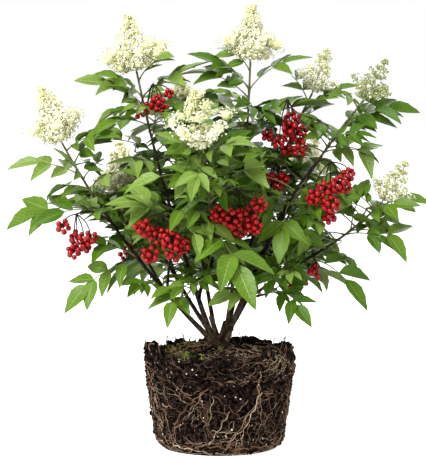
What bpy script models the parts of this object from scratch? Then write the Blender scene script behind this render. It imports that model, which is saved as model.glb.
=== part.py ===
"""Red elderberry lifted out of its container, standing on its bare root ball.

The shrub is built at real size in metres, with Z up. The origin is the middle of the flat
underside of the root ball. The front is seen along +Y, so bearings are counted from +X
(0 is right, 90 is back, 180 is left, 270 is front) and pitches are degrees above level.
"""

import math
import random
from dataclasses import dataclass

import bmesh
import bpy
from mathutils import Matrix, Vector
from mathutils.bvhtree import BVHTree

# Root ball
BALL_FOOT_RADIUS = 0.118
BALL_WAIST_RADIUS = 0.137
BALL_RIM_RADIUS = 0.149
BALL_RIM_HEIGHT = 0.190
BALL_CROWN_HEIGHT = 0.199
BALL_CROWN_RADIUS = 0.045
BALL_STEPS = 24

# Root crown, which all the canes leave
SEAT_GAP = 0.0003
FLARE_RADIUS = 0.031
NECK_RADIUS = 0.014
NECK_HEIGHT = 0.040
FOOT_RING_RADIUS = 0.012
STUB_LENGTH = 0.078
STUB_STEPS = 2
PRUNED_STUBS = ((215.0, 68.0, 0.058), (300.0, 62.0, 0.050))
PRUNED_RADIUS = 0.0050

# Canes
CANE_TIP_RADIUS = 0.0021
LEAD = 0.005
BLOOM_RISE = 0.40
BOUGH_STEPS = 2
GAP_SAMPLES = 12
CROWN_STEM_STEPS = 4

# Compound leaves
STALK_LENGTH = 0.040
PAIR_SPACING = 0.031
STALK_RADIUS = 0.0026
STALK_TIP_RADIUS = 0.0020
STALK_LIFT = 12.0
STALK_DROOP = 24.0
STALK_STEPS = 2
LEAFLET_LENGTH = 0.098
LEAFLET_WIDTH = 0.040
LEAFLET_THICKNESS = 0.0017
LEAFLET_WIDEST = 0.42
LEAFLET_ARCH = 0.07
LEAFLET_SINK = 0.0012
LEAFLET_HANG = 0.36
TERMINAL_HANG = 0.20
OUTWARD_ROLL = 38.0
ROLL_MIDDLE = 0.10
ROLL_DEPTH = 0.12
FAR_SPREAD = 52.0
NEAR_SPREAD = 74.0
TIP_GAP = 0.012
CLEARANCE = 0.0012
SECOND_TRIES = ((0.0, 0.0), (14.0, 6.0), (-14.0, 6.0), (26.0, -8.0), (-26.0, -8.0), (8.0, 18.0), (-8.0, -18.0))

# Blossom and fruit
BLOOM_PROFILE = ((0.0, 0.0), (0.05, 0.52), (0.22, 0.96), (0.42, 0.70), (0.62, 0.40), (0.82, 0.20), (1.0, 0.0))
BLOOM_SIDES = 8
BLOOM_RAGGED = 0.16
BLOOM_STEM_SHARE = 0.50
CORE_SHARE = 0.90
CORE_HOLLOW = 0.86
BERRY_RADIUS = 0.0098
BERRY_PLACES = ((285.0, -38.0), (110.0, -10.0))
LEAST_BERRIED = 0.088
PEDUNCLE_RADIUS = 0.0016
PEDUNCLE_ARCH = 0.028

SEED = "elderberry"


@dataclass(frozen=True)
class Leaf:
    """A compound leaf: its place along the cane, its bearing, its pitch, its size and its pairs."""

    at: float
    bearing: float
    pitch: float
    size: float = 1.0
    pairs: int = 2


@dataclass(frozen=True)
class Bloom:
    """A pyramid of blossom that ends a cane."""

    height: float
    width: float


@dataclass(frozen=True)
class Fruit:
    """A hanging cluster: its place along the cane, its bearing, its reach, its drop and its size."""

    at: float
    bearing: float
    reach: float
    drop: float
    width: float
    height: float


@dataclass(frozen=True)
class Cane:
    """One cane from its foot to its tip; sway is how far its middle bows away from the straight."""

    name: str
    tip: tuple
    sway: tuple
    leafy_from: float
    thick: float
    leaves: tuple
    bloom: Bloom = None
    fruit: tuple = ()
    fork: tuple = None


@dataclass(frozen=True)
class Leaflet:
    """One leaflet in place: its root, the way it points, the way its face looks, and its size."""

    root: Vector
    along: Vector
    face: Vector
    length: float
    width: float


CANES = (
    Cane(
        name="left_long", tip=(-0.312, -0.030, 0.610), sway=(-0.014, -0.020, -0.010),
        leafy_from=0.42, thick=0.0056,
        leaves=(
            Leaf(0.45, 200, -22, 1.05, 3), Leaf(0.45, 50, 35, 0.85),
            Leaf(0.68, 183, 6, 1.15, 3), Leaf(0.68, 15, 72, 0.80),
            Leaf(0.85, 180, 14, 0.95),
        ),
        bloom=Bloom(0.122, 0.118),
        fruit=(Fruit(0.62, 212, 0.072, 0.012, 0.086, 0.080),),
    ),
    Cane(
        name="upper_left", tip=(-0.166, 0.020, 0.752), sway=(-0.010, -0.012, 0.0),
        leafy_from=0.52, thick=0.0058,
        leaves=(
            Leaf(0.56, 240, 5, 0.90), Leaf(0.56, 80, 30, 0.90),
            Leaf(0.70, 182, 22, 1.00), Leaf(0.70, 20, 38, 0.90),
            Leaf(0.87, 180, 34, 0.95), Leaf(0.87, 2, 60, 0.85),
        ),
        bloom=Bloom(0.116, 0.124),
        fruit=(Fruit(0.84, 300, 0.036, -0.022, 0.080, 0.060),),
    ),
    Cane(
        name="centre_top", tip=(0.062, 0.030, 0.772), sway=(0.008, -0.006, 0.0),
        leafy_from=0.56, thick=0.0050,
        leaves=(
            Leaf(0.60, 275, -5, 0.90), Leaf(0.60, 95, 20, 0.90),
            Leaf(0.74, 4, 36, 1.15), Leaf(0.74, 186, 38, 1.05),
            Leaf(0.66, 340, 8, 0.90), Leaf(0.66, 165, 20, 0.85),
            Leaf(0.89, 178, 56, 0.78), Leaf(0.89, 2, 52, 0.78),
        ),
        bloom=Bloom(0.117, 0.116),
    ),
    Cane(
        name="right_inner", tip=(0.190, 0.100, 0.708), sway=(-0.016, 0.0, 0.006),
        leafy_from=0.50, thick=0.0050,
        leaves=(
            Leaf(0.54, 330, 0, 0.85), Leaf(0.54, 150, 20, 0.85),
            Leaf(0.70, 218, 14, 0.80), Leaf(0.70, 60, 30, 0.85),
            Leaf(0.85, 350, -5, 0.90), Leaf(0.85, 172, 32, 0.85),
        ),
        bloom=Bloom(0.102, 0.090),
        fruit=(
            Fruit(0.80, 264, 0.085, -0.020, 0.104, 0.104),
            Fruit(0.62, 282, 0.050, -0.012, 0.062, 0.044),
        ),
    ),
    Cane(
        name="right_long", tip=(0.288, 0.000, 0.694), sway=(-0.016, 0.006, 0.020),
        leafy_from=0.44, thick=0.0058,
        leaves=(
            Leaf(0.50, 285, -34, 0.95), Leaf(0.50, 120, 20, 0.85),
            Leaf(0.63, 290, 5, 0.85), Leaf(0.63, 100, 25, 0.85),
            Leaf(0.78, 350, -4, 1.00), Leaf(0.78, 165, 48, 0.80),
            Leaf(0.89, 4, 14, 1.00), Leaf(0.89, 172, 58, 0.80),
        ),
        bloom=Bloom(0.096, 0.080),
    ),
    Cane(
        name="back_left", tip=(-0.190, 0.250, 0.515), sway=(-0.010, 0.020, -0.006),
        leafy_from=0.46, thick=0.0052,
        leaves=(
            Leaf(0.52, 150, -10, 1.00), Leaf(0.52, 320, 30, 0.80),
            Leaf(0.72, 185, 10, 1.05), Leaf(0.72, 30, 30, 0.90),
            Leaf(0.88, 125, 10, 1.00), Leaf(0.88, 300, 40, 0.80),
        ),
        bloom=Bloom(0.100, 0.104),
        fruit=(Fruit(0.66, 120, 0.070, 0.030, 0.090, 0.084),),
    ),
    Cane(
        name="back_centre", tip=(-0.078, 0.160, 0.690), sway=(-0.006, 0.014, 0.0),
        leafy_from=0.54, thick=0.0048,
        leaves=(
            Leaf(0.60, 100, 5, 0.95), Leaf(0.60, 270, 20, 0.80),
            Leaf(0.80, 80, 25, 0.95), Leaf(0.80, 250, 25, 0.75),
        ),
        bloom=Bloom(0.066, 0.058),
    ),
    Cane(
        name="back_right", tip=(0.185, 0.270, 0.530), sway=(0.008, 0.020, -0.006),
        leafy_from=0.46, thick=0.0052,
        leaves=(
            Leaf(0.52, 40, -10, 1.00), Leaf(0.52, 230, 30, 0.80),
            Leaf(0.72, 350, 8, 1.05), Leaf(0.72, 140, 30, 0.90),
            Leaf(0.88, 60, 12, 1.00), Leaf(0.88, 225, 40, 0.80),
        ),
        bloom=Bloom(0.100, 0.104),
        fruit=(Fruit(0.66, 112, 0.070, 0.024, 0.090, 0.084),),
    ),
    Cane(
        name="left_behind", fork=("left_long", 0.24), tip=(-0.205, 0.120, 0.505),
        sway=(-0.010, 0.010, -0.010), leafy_from=0.48, thick=0.0034,
        leaves=(
            Leaf(0.56, 165, 10, 0.90), Leaf(0.56, 350, 30, 0.80),
            Leaf(0.82, 195, 25, 0.85), Leaf(0.82, 15, 45, 0.75),
        ),
        bloom=Bloom(0.088, 0.086),
    ),
    Cane(
        name="left_inner", fork=("left_long", 0.27), tip=(-0.070, -0.130, 0.478),
        sway=(-0.008, -0.012, 0.0), leafy_from=0.55, thick=0.0032,
        leaves=(
            Leaf(0.97, 176, 24, 0.95), Leaf(0.97, 292, -28, 0.66),
            Leaf(0.72, 130, 15, 0.85), Leaf(0.72, 20, 30, 0.70),
        ),
        fruit=(Fruit(0.86, 228, 0.050, 0.030, 0.106, 0.088),),
    ),
    Cane(
        name="front_centre", fork=("upper_left", 0.165), tip=(-0.031, -0.200, 0.596),
        sway=(0.018, -0.020, -0.006), leafy_from=0.42, thick=0.0040,
        leaves=(
            Leaf(0.52, 296, -38, 1.22), Leaf(0.52, 110, 30, 0.80),
            Leaf(0.68, 200, 5, 0.95), Leaf(0.68, 34, 30, 0.70),
            Leaf(0.84, 184, 8, 1.00), Leaf(0.84, 356, 14, 1.00),
            Leaf(0.94, 255, -20, 0.70), Leaf(0.94, 75, 20, 0.65),
        ),
        bloom=Bloom(0.126, 0.118),
        fruit=(Fruit(0.66, 345, 0.056, 0.015, 0.112, 0.080),),
    ),
    Cane(
        name="right_front", fork=("right_long", 0.36), tip=(0.180, -0.095, 0.565),
        sway=(-0.006, -0.010, 0.004), leafy_from=0.40, thick=0.0036,
        leaves=(
            Leaf(0.55, 262, -30, 0.95), Leaf(0.55, 80, 22, 0.75),
            Leaf(0.97, 200, 15, 0.80), Leaf(0.97, 120, 30, 0.75),
        ),
        fruit=(Fruit(0.93, 335, 0.046, 0.046, 0.092, 0.108),),
    ),
    Cane(
        name="low_right", fork=("right_long", 0.22), tip=(0.322, -0.030, 0.492),
        sway=(0.008, -0.020, -0.016), leafy_from=0.42, thick=0.0042,
        leaves=(
            Leaf(0.48, 338, -24, 0.98, 3), Leaf(0.48, 155, 40, 0.70),
            Leaf(0.74, 50, 70, 0.75), Leaf(0.74, 354, -6, 1.10),
            Leaf(0.93, 150, 45, 0.55),
        ),
        bloom=Bloom(0.098, 0.086),
        fruit=(Fruit(0.44, 290, 0.022, 0.034, 0.036, 0.044),),
    ),
    Cane(
        name="low_front_right", fork=("right_long", 0.165), tip=(0.106, -0.090, 0.325),
        sway=(0.004, -0.006, -0.004), leafy_from=0.30, thick=0.0027,
        leaves=(Leaf(1.0, 322, -28, 0.90), Leaf(1.0, 110, 50, 0.70), Leaf(0.72, 240, 5, 0.65)),
    ),
    Cane(
        name="low_front_left", fork=("left_long", 0.20), tip=(-0.072, -0.085, 0.325),
        sway=(0.0, -0.006, -0.004), leafy_from=0.30, thick=0.0027,
        leaves=(Leaf(1.0, 235, -30, 0.80), Leaf(1.0, 80, 40, 0.60)),
    ),
    Cane(
        name="back_low_left", fork=("back_left", 0.26), tip=(-0.120, 0.320, 0.400),
        sway=(-0.004, 0.016, -0.012), leafy_from=0.40, thick=0.0038,
        leaves=(
            Leaf(0.55, 165, 5, 0.95), Leaf(0.55, 20, 20, 0.80),
            Leaf(0.85, 120, -10, 1.00), Leaf(0.85, 20, 5, 0.95),
        ),
        bloom=Bloom(0.086, 0.084),
    ),
    Cane(
        name="back_low_right", fork=("back_right", 0.26), tip=(0.200, 0.300, 0.390),
        sway=(0.004, 0.016, -0.012), leafy_from=0.40, thick=0.0038,
        leaves=(
            Leaf(0.55, 10, 0, 0.95), Leaf(0.55, 150, 10, 0.80),
            Leaf(0.97, 30, 0, 0.95), Leaf(0.97, 135, 10, 0.90),
        ),
        fruit=(Fruit(0.70, 350, 0.060, 0.040, 0.086, 0.080),),
    ),
    Cane(
        name="back_mid", fork=("back_centre", 0.24), tip=(0.035, 0.340, 0.530),
        sway=(0.0, 0.020, -0.010), leafy_from=0.44, thick=0.0040,
        leaves=(
            Leaf(0.55, 100, -12, 1.00), Leaf(0.55, 275, 30, 0.80),
            Leaf(0.80, 60, 10, 1.00), Leaf(0.80, 170, 15, 0.95),
        ),
        bloom=Bloom(0.100, 0.100),
        fruit=(Fruit(0.70, 95, 0.060, 0.035, 0.090, 0.084),),
    ),
)


# Directions and paths


def heading(bearing, pitch):
    """Unit vector for a bearing and a pitch in degrees."""
    level = math.cos(math.radians(pitch))
    return Vector((
        level * math.cos(math.radians(bearing)),
        level * math.sin(math.radians(bearing)),
        math.sin(math.radians(pitch)),
    ))


class CanePath:
    """The curve of one cane: a quadratic from its foot to its tip, bowed by its sway."""

    def __init__(self, cane, paths):
        self.cane = cane
        self.tip = Vector(cane.tip)
        if cane.fork:
            self.parent = paths[cane.fork[0]]
            self.foot = self.parent.point(cane.fork[1])
        else:
            self.parent = None
            lean = Vector((cane.tip[0], cane.tip[1], 0.0)).normalized()
            self.foot = lean * FOOT_RING_RADIUS
            self.foot.z = BALL_CROWN_HEIGHT + 0.010
        self.bend = (self.foot + self.tip) / 2.0 + Vector(cane.sway) * 2.0
        self.length = (self.tip - self.foot).length
        self.drawn_back = 0.0

    def point(self, share):
        """Place on the cane's centre line."""
        rest = 1.0 - share
        return self.foot * rest * rest + self.bend * 2.0 * rest * share + self.tip * share * share

    def bloom_axis(self):
        """Direction of the blossom, which turns upward from the cane's own."""
        return (self.tangent(1.0) + Vector((0.0, 0.0, BLOOM_RISE))).normalized()

    def tangent(self, share):
        """Direction of growth."""
        way = (self.bend - self.foot) * (1.0 - share) + (self.tip - self.bend) * share
        return way.normalized()

    def radius(self, share):
        """The cane tapers evenly from foot to tip."""
        return self.cane.thick + (CANE_TIP_RADIUS - self.cane.thick) * min(share, 1.0)

    def fork_angle(self):
        """Angle between a fork and the cane that carries it."""
        return self.tangent(0.0).angle(self.parent.tangent(self.cane.fork[1]))

    def start(self):
        """Share at which the cane's own wood begins, clear of the cane that it forks from."""
        if self.parent is None:
            return STUB_LENGTH / self.length
        angle = self.fork_angle()
        beyond = self.parent.radius(self.cane.fork[1]) + SEAT_GAP + self.radius(0.0) * math.cos(angle)
        out = beyond / math.sin(angle) - self.drawn_back
        return out / (2.0 * (self.bend - self.foot).length)

    def stretch(self, first, last, steps, lead_in=True, lead_out=True):
        """Points and radii between two shares, each end squared off half a gap short of its cut."""
        points = []
        radii = []
        shares = [first + (last - first) * step / steps for step in range(steps + 1)]
        for place, share in enumerate(shares):
            if place == 0 and lead_in:
                way = self.tangent(share)
                points += [self.point(share) + way * SEAT_GAP / 2.0, self.point(share) + way * LEAD]
                radii += [self.radius(share)] * 2
            elif place == steps and lead_out:
                way = self.tangent(share)
                points += [self.point(share) - way * LEAD, self.point(share) - way * SEAT_GAP / 2.0]
                radii += [self.radius(share)] * 2
            else:
                points.append(self.point(share))
                radii.append(self.radius(share))
        return points, radii


# Materials


def finish(name, colour, roughness):
    """A plain Principled material."""
    material = bpy.data.materials.new(name)
    material.use_nodes = True
    shader = material.node_tree.nodes["Principled BSDF"]
    shader.inputs["Base Color"].default_value = (*colour, 1.0)
    shader.inputs["Roughness"].default_value = roughness
    shader.inputs["Metallic"].default_value = 0.0
    return material


def shrub_finishes():
    """Bark, leaf, blossom and berry, in the order in which every foliage mesh holds them."""
    return (
        finish("bark", (0.060, 0.036, 0.022), 0.80),
        finish("leaf", (0.075, 0.190, 0.035), 0.50),
        finish("blossom", (0.780, 0.760, 0.520), 0.80),
        finish("berry", (0.520, 0.008, 0.010), 0.25),
    )


BARK, LEAF, BLOSSOM, BERRY = range(4)


# Solids


def object_from(name, mesh, collection):
    """A new object in a collection."""
    made = bpy.data.objects.new(name, mesh)
    collection.objects.link(made)
    return made


def limb(name, points, radii, collection):
    """A six-sided tapering tube along the points, closed at both ends, as a welded mesh."""
    curve = bpy.data.curves.new(name, "CURVE")
    curve.dimensions = "3D"
    curve.bevel_depth = 1.0
    curve.bevel_resolution = 1
    curve.use_fill_caps = True
    spline = curve.splines.new("POLY")
    spline.points.add(len(points) - 1)
    for knot, place, radius in zip(spline.points, points, radii):
        knot.co = (*place, 1.0)
        knot.radius = radius
    guide = object_from(name + "_guide", curve, collection)
    graph = bpy.context.evaluated_depsgraph_get()
    mesh = bpy.data.meshes.new_from_object(guide.evaluated_get(graph))
    bpy.data.objects.remove(guide)
    bm = bmesh.new()
    bm.from_mesh(mesh)
    bmesh.ops.remove_doubles(bm, verts=bm.verts, dist=1e-6)
    bmesh.ops.recalc_face_normals(bm, faces=bm.faces)
    bm.to_mesh(mesh)
    bm.free()
    mesh.name = name
    return object_from(name, mesh, collection)


def twig_shape(points, radii):
    """A three-sided twig: a small triangle pushed from point to point, turned and sized at each."""
    bm = bmesh.new()
    bmesh.ops.create_circle(bm, cap_ends=True, radius=1.0, segments=3)
    cap = next(iter(bm.faces))
    turn = Vector((0.0, 0.0, 1.0)).rotation_difference(points[1] - points[0])
    ring = [vertex.co.copy() for vertex in cap.verts]
    place_ring(cap.verts, ring, turn, points[0], radii[0])
    for step in range(1, len(points)):
        grown = bmesh.ops.extrude_face_region(bm, geom=[cap])["geom"]
        if step > 1:
            bmesh.ops.delete(bm, geom=[cap], context="FACES_ONLY")
        cap = next(item for item in grown if isinstance(item, bmesh.types.BMFace))
        if step + 1 < len(points):
            onward = (points[step + 1] - points[step - 1]).normalized()
        else:
            onward = (points[step] - points[step - 1]).normalized()
        turn = Vector((0.0, 0.0, 1.0)).rotation_difference(onward)
        place_ring(cap.verts, ring, turn, points[step], radii[step])
    bmesh.ops.recalc_face_normals(bm, faces=bm.faces)
    return bm


def place_ring(verts, ring, turn, middle, radius):
    """Move a cap's vertices to the ring's shape at a place along a twig."""
    for vertex, corner in zip(verts, ring):
        vertex.co = middle + turn @ (corner * radius)


def leaflet_shape(leaflet, swell=0.0):
    """An eight-faced leaf: a four-sided ball drawn out to a point at root and tip."""
    bm = bmesh.new()
    bmesh.ops.create_uvsphere(bm, u_segments=4, v_segments=2, radius=1.0)
    side = leaflet.along.cross(leaflet.face).normalized()
    for vertex in bm.verts:
        across, through, onward = vertex.co
        share = (onward + 1.0) / 2.0
        rise = 0.0
        if abs(onward) < 0.5:
            share = LEAFLET_WIDEST
            rise = LEAFLET_ARCH * leaflet.length
        vertex.co = (
            leaflet.root
            + leaflet.along * (share * leaflet.length)
            + side * across * (leaflet.width / 2.0 + swell)
            + leaflet.face * (rise + through * (LEAFLET_THICKNESS / 2.0 + swell))
        )
    bmesh.ops.recalc_face_normals(bm, faces=bm.faces)
    return bm


def bloom_shape(base, axis, bloom, draw):
    """A pyramid of blossom: a ball drawn out to the pyramid's profile, with ragged lobes."""
    bm = bmesh.new()
    bmesh.ops.create_uvsphere(bm, u_segments=BLOOM_SIDES, v_segments=len(BLOOM_PROFILE) - 1, radius=1.0)
    stand = Vector((0.0, 0.0, 1.0)).rotation_difference(axis)
    rings = len(BLOOM_PROFILE) - 1
    for vertex in bm.verts:
        ring = rings - round(math.acos(max(-1.0, min(1.0, vertex.co.z))) / math.pi * rings)
        height, width = BLOOM_PROFILE[ring]
        around = math.atan2(vertex.co.y, vertex.co.x)
        reach = bloom.width / 2.0 * width * (1.0 + draw.uniform(-BLOOM_RAGGED, BLOOM_RAGGED))
        up = bloom.height * height
        if 0 < ring < rings:
            up += bloom.height * draw.uniform(-0.03, 0.03)
        vertex.co = base + stand @ Vector((reach * math.cos(around), reach * math.sin(around), up))
    return bm


def core_shape(middle, fruit):
    """The close middle of a fruit cluster: a ball whose twelve corners stand out of its hollows."""
    bm = bmesh.new()
    bmesh.ops.create_icosphere(bm, subdivisions=2, radius=1.0)
    for vertex in bm.verts:
        share = CORE_SHARE * (1.0 if len(vertex.link_edges) == 5 else CORE_HOLLOW)
        way = vertex.co.normalized() * share
        vertex.co = middle + Vector((way.x * fruit.width, way.y * fruit.width, way.z * fruit.height)) / 2.0
    return bm


def berry_shape(middle):
    """A twenty-faced berry."""
    bm = bmesh.new()
    place = Matrix.Translation(middle)
    bmesh.ops.create_icosphere(bm, subdivisions=1, radius=BERRY_RADIUS, matrix=place)
    return bm


# Own space


class Space:
    """What is already taken up, so that each new shape can be kept clear of the others."""

    def __init__(self):
        self.taken = []

    def claim(self, owner, bm):
        """Hold a shape's place for its owner."""
        low, high = reach_of(bm)
        self.taken.append((owner, BVHTree.FromBMesh(bm), low, high))

    def is_free(self, bm, ignore=()):
        """True where the shape meets nothing but what its ignored owners hold."""
        low, high = reach_of(bm)
        tree = BVHTree.FromBMesh(bm)
        for owner, other, other_low, other_high in self.taken:
            if owner in ignore:
                continue
            apart = any(low[i] > other_high[i] or high[i] < other_low[i] for i in range(3))
            if not apart and tree.overlap(other):
                return False
        return True


def reach_of(bm):
    """Lowest and highest corner of a shape."""
    spots = [vertex.co for vertex in bm.verts]
    low = [min(spot[i] for spot in spots) for i in range(3)]
    high = [max(spot[i] for spot in spots) for i in range(3)]
    return low, high


# Leaves, blossom and fruit


def leaf_stalk(start, bearing, pitch, leaf):
    """Centre line of a compound leaf's stalk, which lifts off its cane and then droops."""
    length = (STALK_LENGTH + PAIR_SPACING * (leaf.pairs - 1)) * leaf.size
    points = [start]
    for step in range(STALK_STEPS):
        along = (step + 0.5) / STALK_STEPS
        rise = pitch + STALK_LIFT - (STALK_LIFT + STALK_DROOP) * along
        points.append(points[-1] + heading(bearing, rise) * length / STALK_STEPS)
    return points


def on_line(points, share):
    """Place and direction at a share of a line of equal steps."""
    steps = len(points) - 1
    step = min(int(share * steps), steps - 1)
    way = points[step + 1] - points[step]
    return points[step] + way * (share * steps - step), way.normalized()


def leaf_side(stalk, bearing, draw):
    """Sideways direction of a leaf, rolled so that its face looks out of the crown, front or back."""
    frontness = max(-1.0, min(1.0, (ROLL_MIDDLE - stalk[0].y) / ROLL_DEPTH))
    roll = -OUTWARD_ROLL * frontness * math.cos(math.radians(bearing)) + draw.uniform(-14.0, 14.0)
    level = heading(bearing - 90.0, 0.0)
    upright = level.cross(heading(bearing, 0.0))
    return level * math.cos(math.radians(roll)) + upright * math.sin(math.radians(roll))


def leaflets_of(stalk, bearing, leaf, draw):
    """The leaflets of one compound leaf: opposite pairs, smaller and wider spread at the base."""
    side = leaf_side(stalk, bearing, draw)
    total = STALK_LENGTH + PAIR_SPACING * (leaf.pairs - 1)
    found = []
    for pair in range(leaf.pairs):
        far = pair / max(leaf.pairs - 1, 1)
        share = (STALK_LENGTH + PAIR_SPACING * pair - TIP_GAP) / total
        place, way = on_line(stalk, share)
        spread = NEAR_SPREAD + (FAR_SPREAD - NEAR_SPREAD) * far
        for hand in (-1.0, 1.0):
            angle = math.radians(spread + draw.uniform(-6.0, 6.0))
            size = (0.80 + 0.14 * far) * leaf.size * draw.uniform(0.93, 1.07)
            along = way * math.cos(angle) + side * hand * math.sin(angle)
            found.append(leaflet_at(place, along, way, side, size, LEAFLET_HANG, draw))
    place, way = on_line(stalk, 1.0)
    size = leaf.size * draw.uniform(0.97, 1.06)
    found.append(leaflet_at(place, way, way, side, size, TERMINAL_HANG, draw))
    return found


def leaflet_at(place, along, way, side, size, most, draw):
    """A leaflet that leaves the stalk at a place, hangs a little and looks up and outward."""
    hang = most * draw.uniform(0.5, 1.5)
    along = (along - Vector((0.0, 0.0, hang))).normalized()
    face = side.cross(way)
    face = face + side * draw.uniform(-0.30, 0.30)
    face = (face - along * face.dot(along)).normalized()
    return Leaflet(
        root=place - along * LEAFLET_SINK,
        along=along,
        face=face,
        length=LEAFLET_LENGTH * size + LEAFLET_SINK,
        width=LEAFLET_WIDTH * size,
    )


def grow_leaf(leaf, path, space, draw):
    """Shapes of one compound leaf that keep clear of everything else, or none."""
    start = path.point(leaf.at)
    name = path.cane.name
    own_wood = (name, name + "_stalk")
    twist = draw.uniform(-6.0, 6.0)
    state = draw.getstate()
    for turn, lift in SECOND_TRIES:
        draw.setstate(state)
        bearing = leaf.bearing + twist + turn
        stalk = leaf_stalk(start, bearing, leaf.pitch + lift, leaf)
        steps = len(stalk) - 1
        radii = [STALK_RADIUS + (STALK_TIP_RADIUS - STALK_RADIUS) * i / steps for i in range(steps + 1)]
        wide = twig_shape(stalk, [radius + CLEARANCE for radius in radii])
        leaflets = leaflets_of(stalk, bearing, leaf, draw)
        kept = [spot for spot in leaflets if space.is_free(leaflet_shape(spot, CLEARANCE), own_wood)]
        if space.is_free(wide, own_wood) and len(kept) >= len(leaflets) - 1 and leaflets[-1] in kept:
            return [twig_shape(stalk, radii)] + [leaflet_shape(spot) for spot in kept]
    return []


def grow_fruit(fruit, path):
    """An arching stalk, the cluster that hangs from it, and the berries that stand out of that."""
    start = path.point(fruit.at)
    middle = start + heading(fruit.bearing, 0.0) * fruit.reach - Vector((0.0, 0.0, fruit.drop))
    top = middle + Vector((0.0, 0.0, fruit.height * 0.30))
    crest = (start + top) / 2.0
    crest.z = max(start.z, top.z) + PEDUNCLE_ARCH
    arc = []
    for step in range(4):
        share = step / 3.0
        rest = 1.0 - share
        arc.append(start * rest * rest + crest * 2.0 * rest * share + top * share * share)
    shapes = [twig_shape(arc, [PEDUNCLE_RADIUS] * 4)]
    shapes.append(core_shape(middle, fruit))
    if fruit.width > LEAST_BERRIED:
        for bearing, pitch in BERRY_PLACES:
            way = heading(bearing, pitch)
            out = Vector((fruit.width, fruit.width, fruit.height)) / 2.0
            spot = Vector([way[i] * (out[i] - BERRY_RADIUS) for i in range(3)])
            shapes.append(berry_shape(middle + spot))
    return shapes


# Parts of the shrub


def build_root_ball(collection, material):
    """The soil that kept its container's shape: a turned tub form with a flat underside."""
    profile = (
        (0.0, BALL_CROWN_HEIGHT),
        (BALL_CROWN_RADIUS, BALL_CROWN_HEIGHT),
        (BALL_RIM_RADIUS * 0.72, BALL_RIM_HEIGHT - 0.002),
        (BALL_RIM_RADIUS * 0.955, BALL_RIM_HEIGHT + 0.002),
        (BALL_RIM_RADIUS, BALL_RIM_HEIGHT - 0.006),
        (BALL_RIM_RADIUS * 0.99, BALL_RIM_HEIGHT * 0.80),
        (BALL_WAIST_RADIUS, BALL_RIM_HEIGHT * 0.42),
        (BALL_FOOT_RADIUS * 1.055, 0.008),
        (BALL_FOOT_RADIUS, 0.0),
        (0.0, 0.0),
    )
    mesh = bpy.data.meshes.new("root_ball")
    corners = [(radius, 0.0, height) for radius, height in profile]
    mesh.from_pydata(corners, [(i, i + 1) for i in range(len(corners) - 1)], [])
    ball = object_from("root_ball", mesh, collection)
    turned = ball.modifiers.new("turned", "SCREW")
    turned.steps = BALL_STEPS
    turned.render_steps = BALL_STEPS
    turned.use_merge_vertices = True
    turned.merge_threshold = 0.0001
    mesh.materials.append(material)
    return ball


def build_crown(paths, collection, materials):
    """The root crown: a flared neck with the foot of each cane and two pruned stubs, as one."""
    base = BALL_CROWN_HEIGHT + SEAT_GAP
    bm = bmesh.new()
    middle = Matrix.Translation((0.0, 0.0, base + NECK_HEIGHT / 2.0))
    bmesh.ops.create_cone(
        bm, cap_ends=True, segments=12, radius1=FLARE_RADIUS, radius2=NECK_RADIUS,
        depth=NECK_HEIGHT, matrix=middle,
    )
    feet = bpy.data.collections.new("feet")
    bpy.context.scene.collection.children.link(feet)
    for path in paths.values():
        if path.parent is None:
            share = STUB_LENGTH / path.length
            points, radii = path.stretch(0.0, share, STUB_STEPS, lead_in=False)
            limb("foot_" + path.cane.name, points, radii, feet)
    for number, (bearing, pitch, length) in enumerate(PRUNED_STUBS):
        start = Vector((0.0, 0.0, base + 0.012))
        end = start + heading(bearing, pitch) * length
        limb("stub_" + str(number), [start, end], [PRUNED_RADIUS, PRUNED_RADIUS * 0.9], feet)
    return fuse("root_crown", bm, BARK, feet, collection, materials)


def fuse(name, base, base_slot, pieces, collection, materials):
    """One solid from a base shape and a collection of pieces, by one Boolean union."""
    mesh = bpy.data.meshes.new(name)
    base.to_mesh(mesh)
    base.free()
    for material in materials:
        mesh.materials.append(material)
    for face in mesh.polygons:
        face.material_index = base_slot
    whole = object_from(name, mesh, collection)
    union = whole.modifiers.new("union", "BOOLEAN")
    union.operation = "UNION"
    union.operand_type = "COLLECTION"
    union.collection = pieces
    union.solver = "EXACT"
    graph = bpy.context.evaluated_depsgraph_get()
    joined = bpy.data.meshes.new_from_object(whole.evaluated_get(graph))
    whole.modifiers.clear()
    whole.data = joined
    bpy.data.meshes.remove(mesh)
    joined.name = name
    for piece in list(pieces.objects):
        bpy.data.objects.remove(piece)
    bpy.data.collections.remove(pieces)
    keep_main_body(joined)
    return whole


def keep_main_body(mesh):
    """Drop loose scraps and fill sealed hollows: only the largest closed skin stays."""
    bm = bmesh.new()
    bm.from_mesh(mesh)
    bmesh.ops.triangulate(bm, faces=bm.faces)
    unseen = set(bm.faces)
    skins = []
    while unseen:
        skin = {unseen.pop()}
        edge_of_skin = list(skin)
        while edge_of_skin:
            face = edge_of_skin.pop()
            for edge in face.edges:
                for other in edge.link_faces:
                    if other in unseen:
                        unseen.remove(other)
                        skin.add(other)
                        edge_of_skin.append(other)
        skins.append(skin)
    skins.sort(key=len, reverse=True)
    for skin in skins[1:]:
        bmesh.ops.delete(bm, geom=list(skin), context="FACES")
    loose = [vertex for vertex in bm.verts if not vertex.link_faces]
    bmesh.ops.delete(bm, geom=loose, context="VERTS")
    bm.to_mesh(mesh)
    bm.free()


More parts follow.
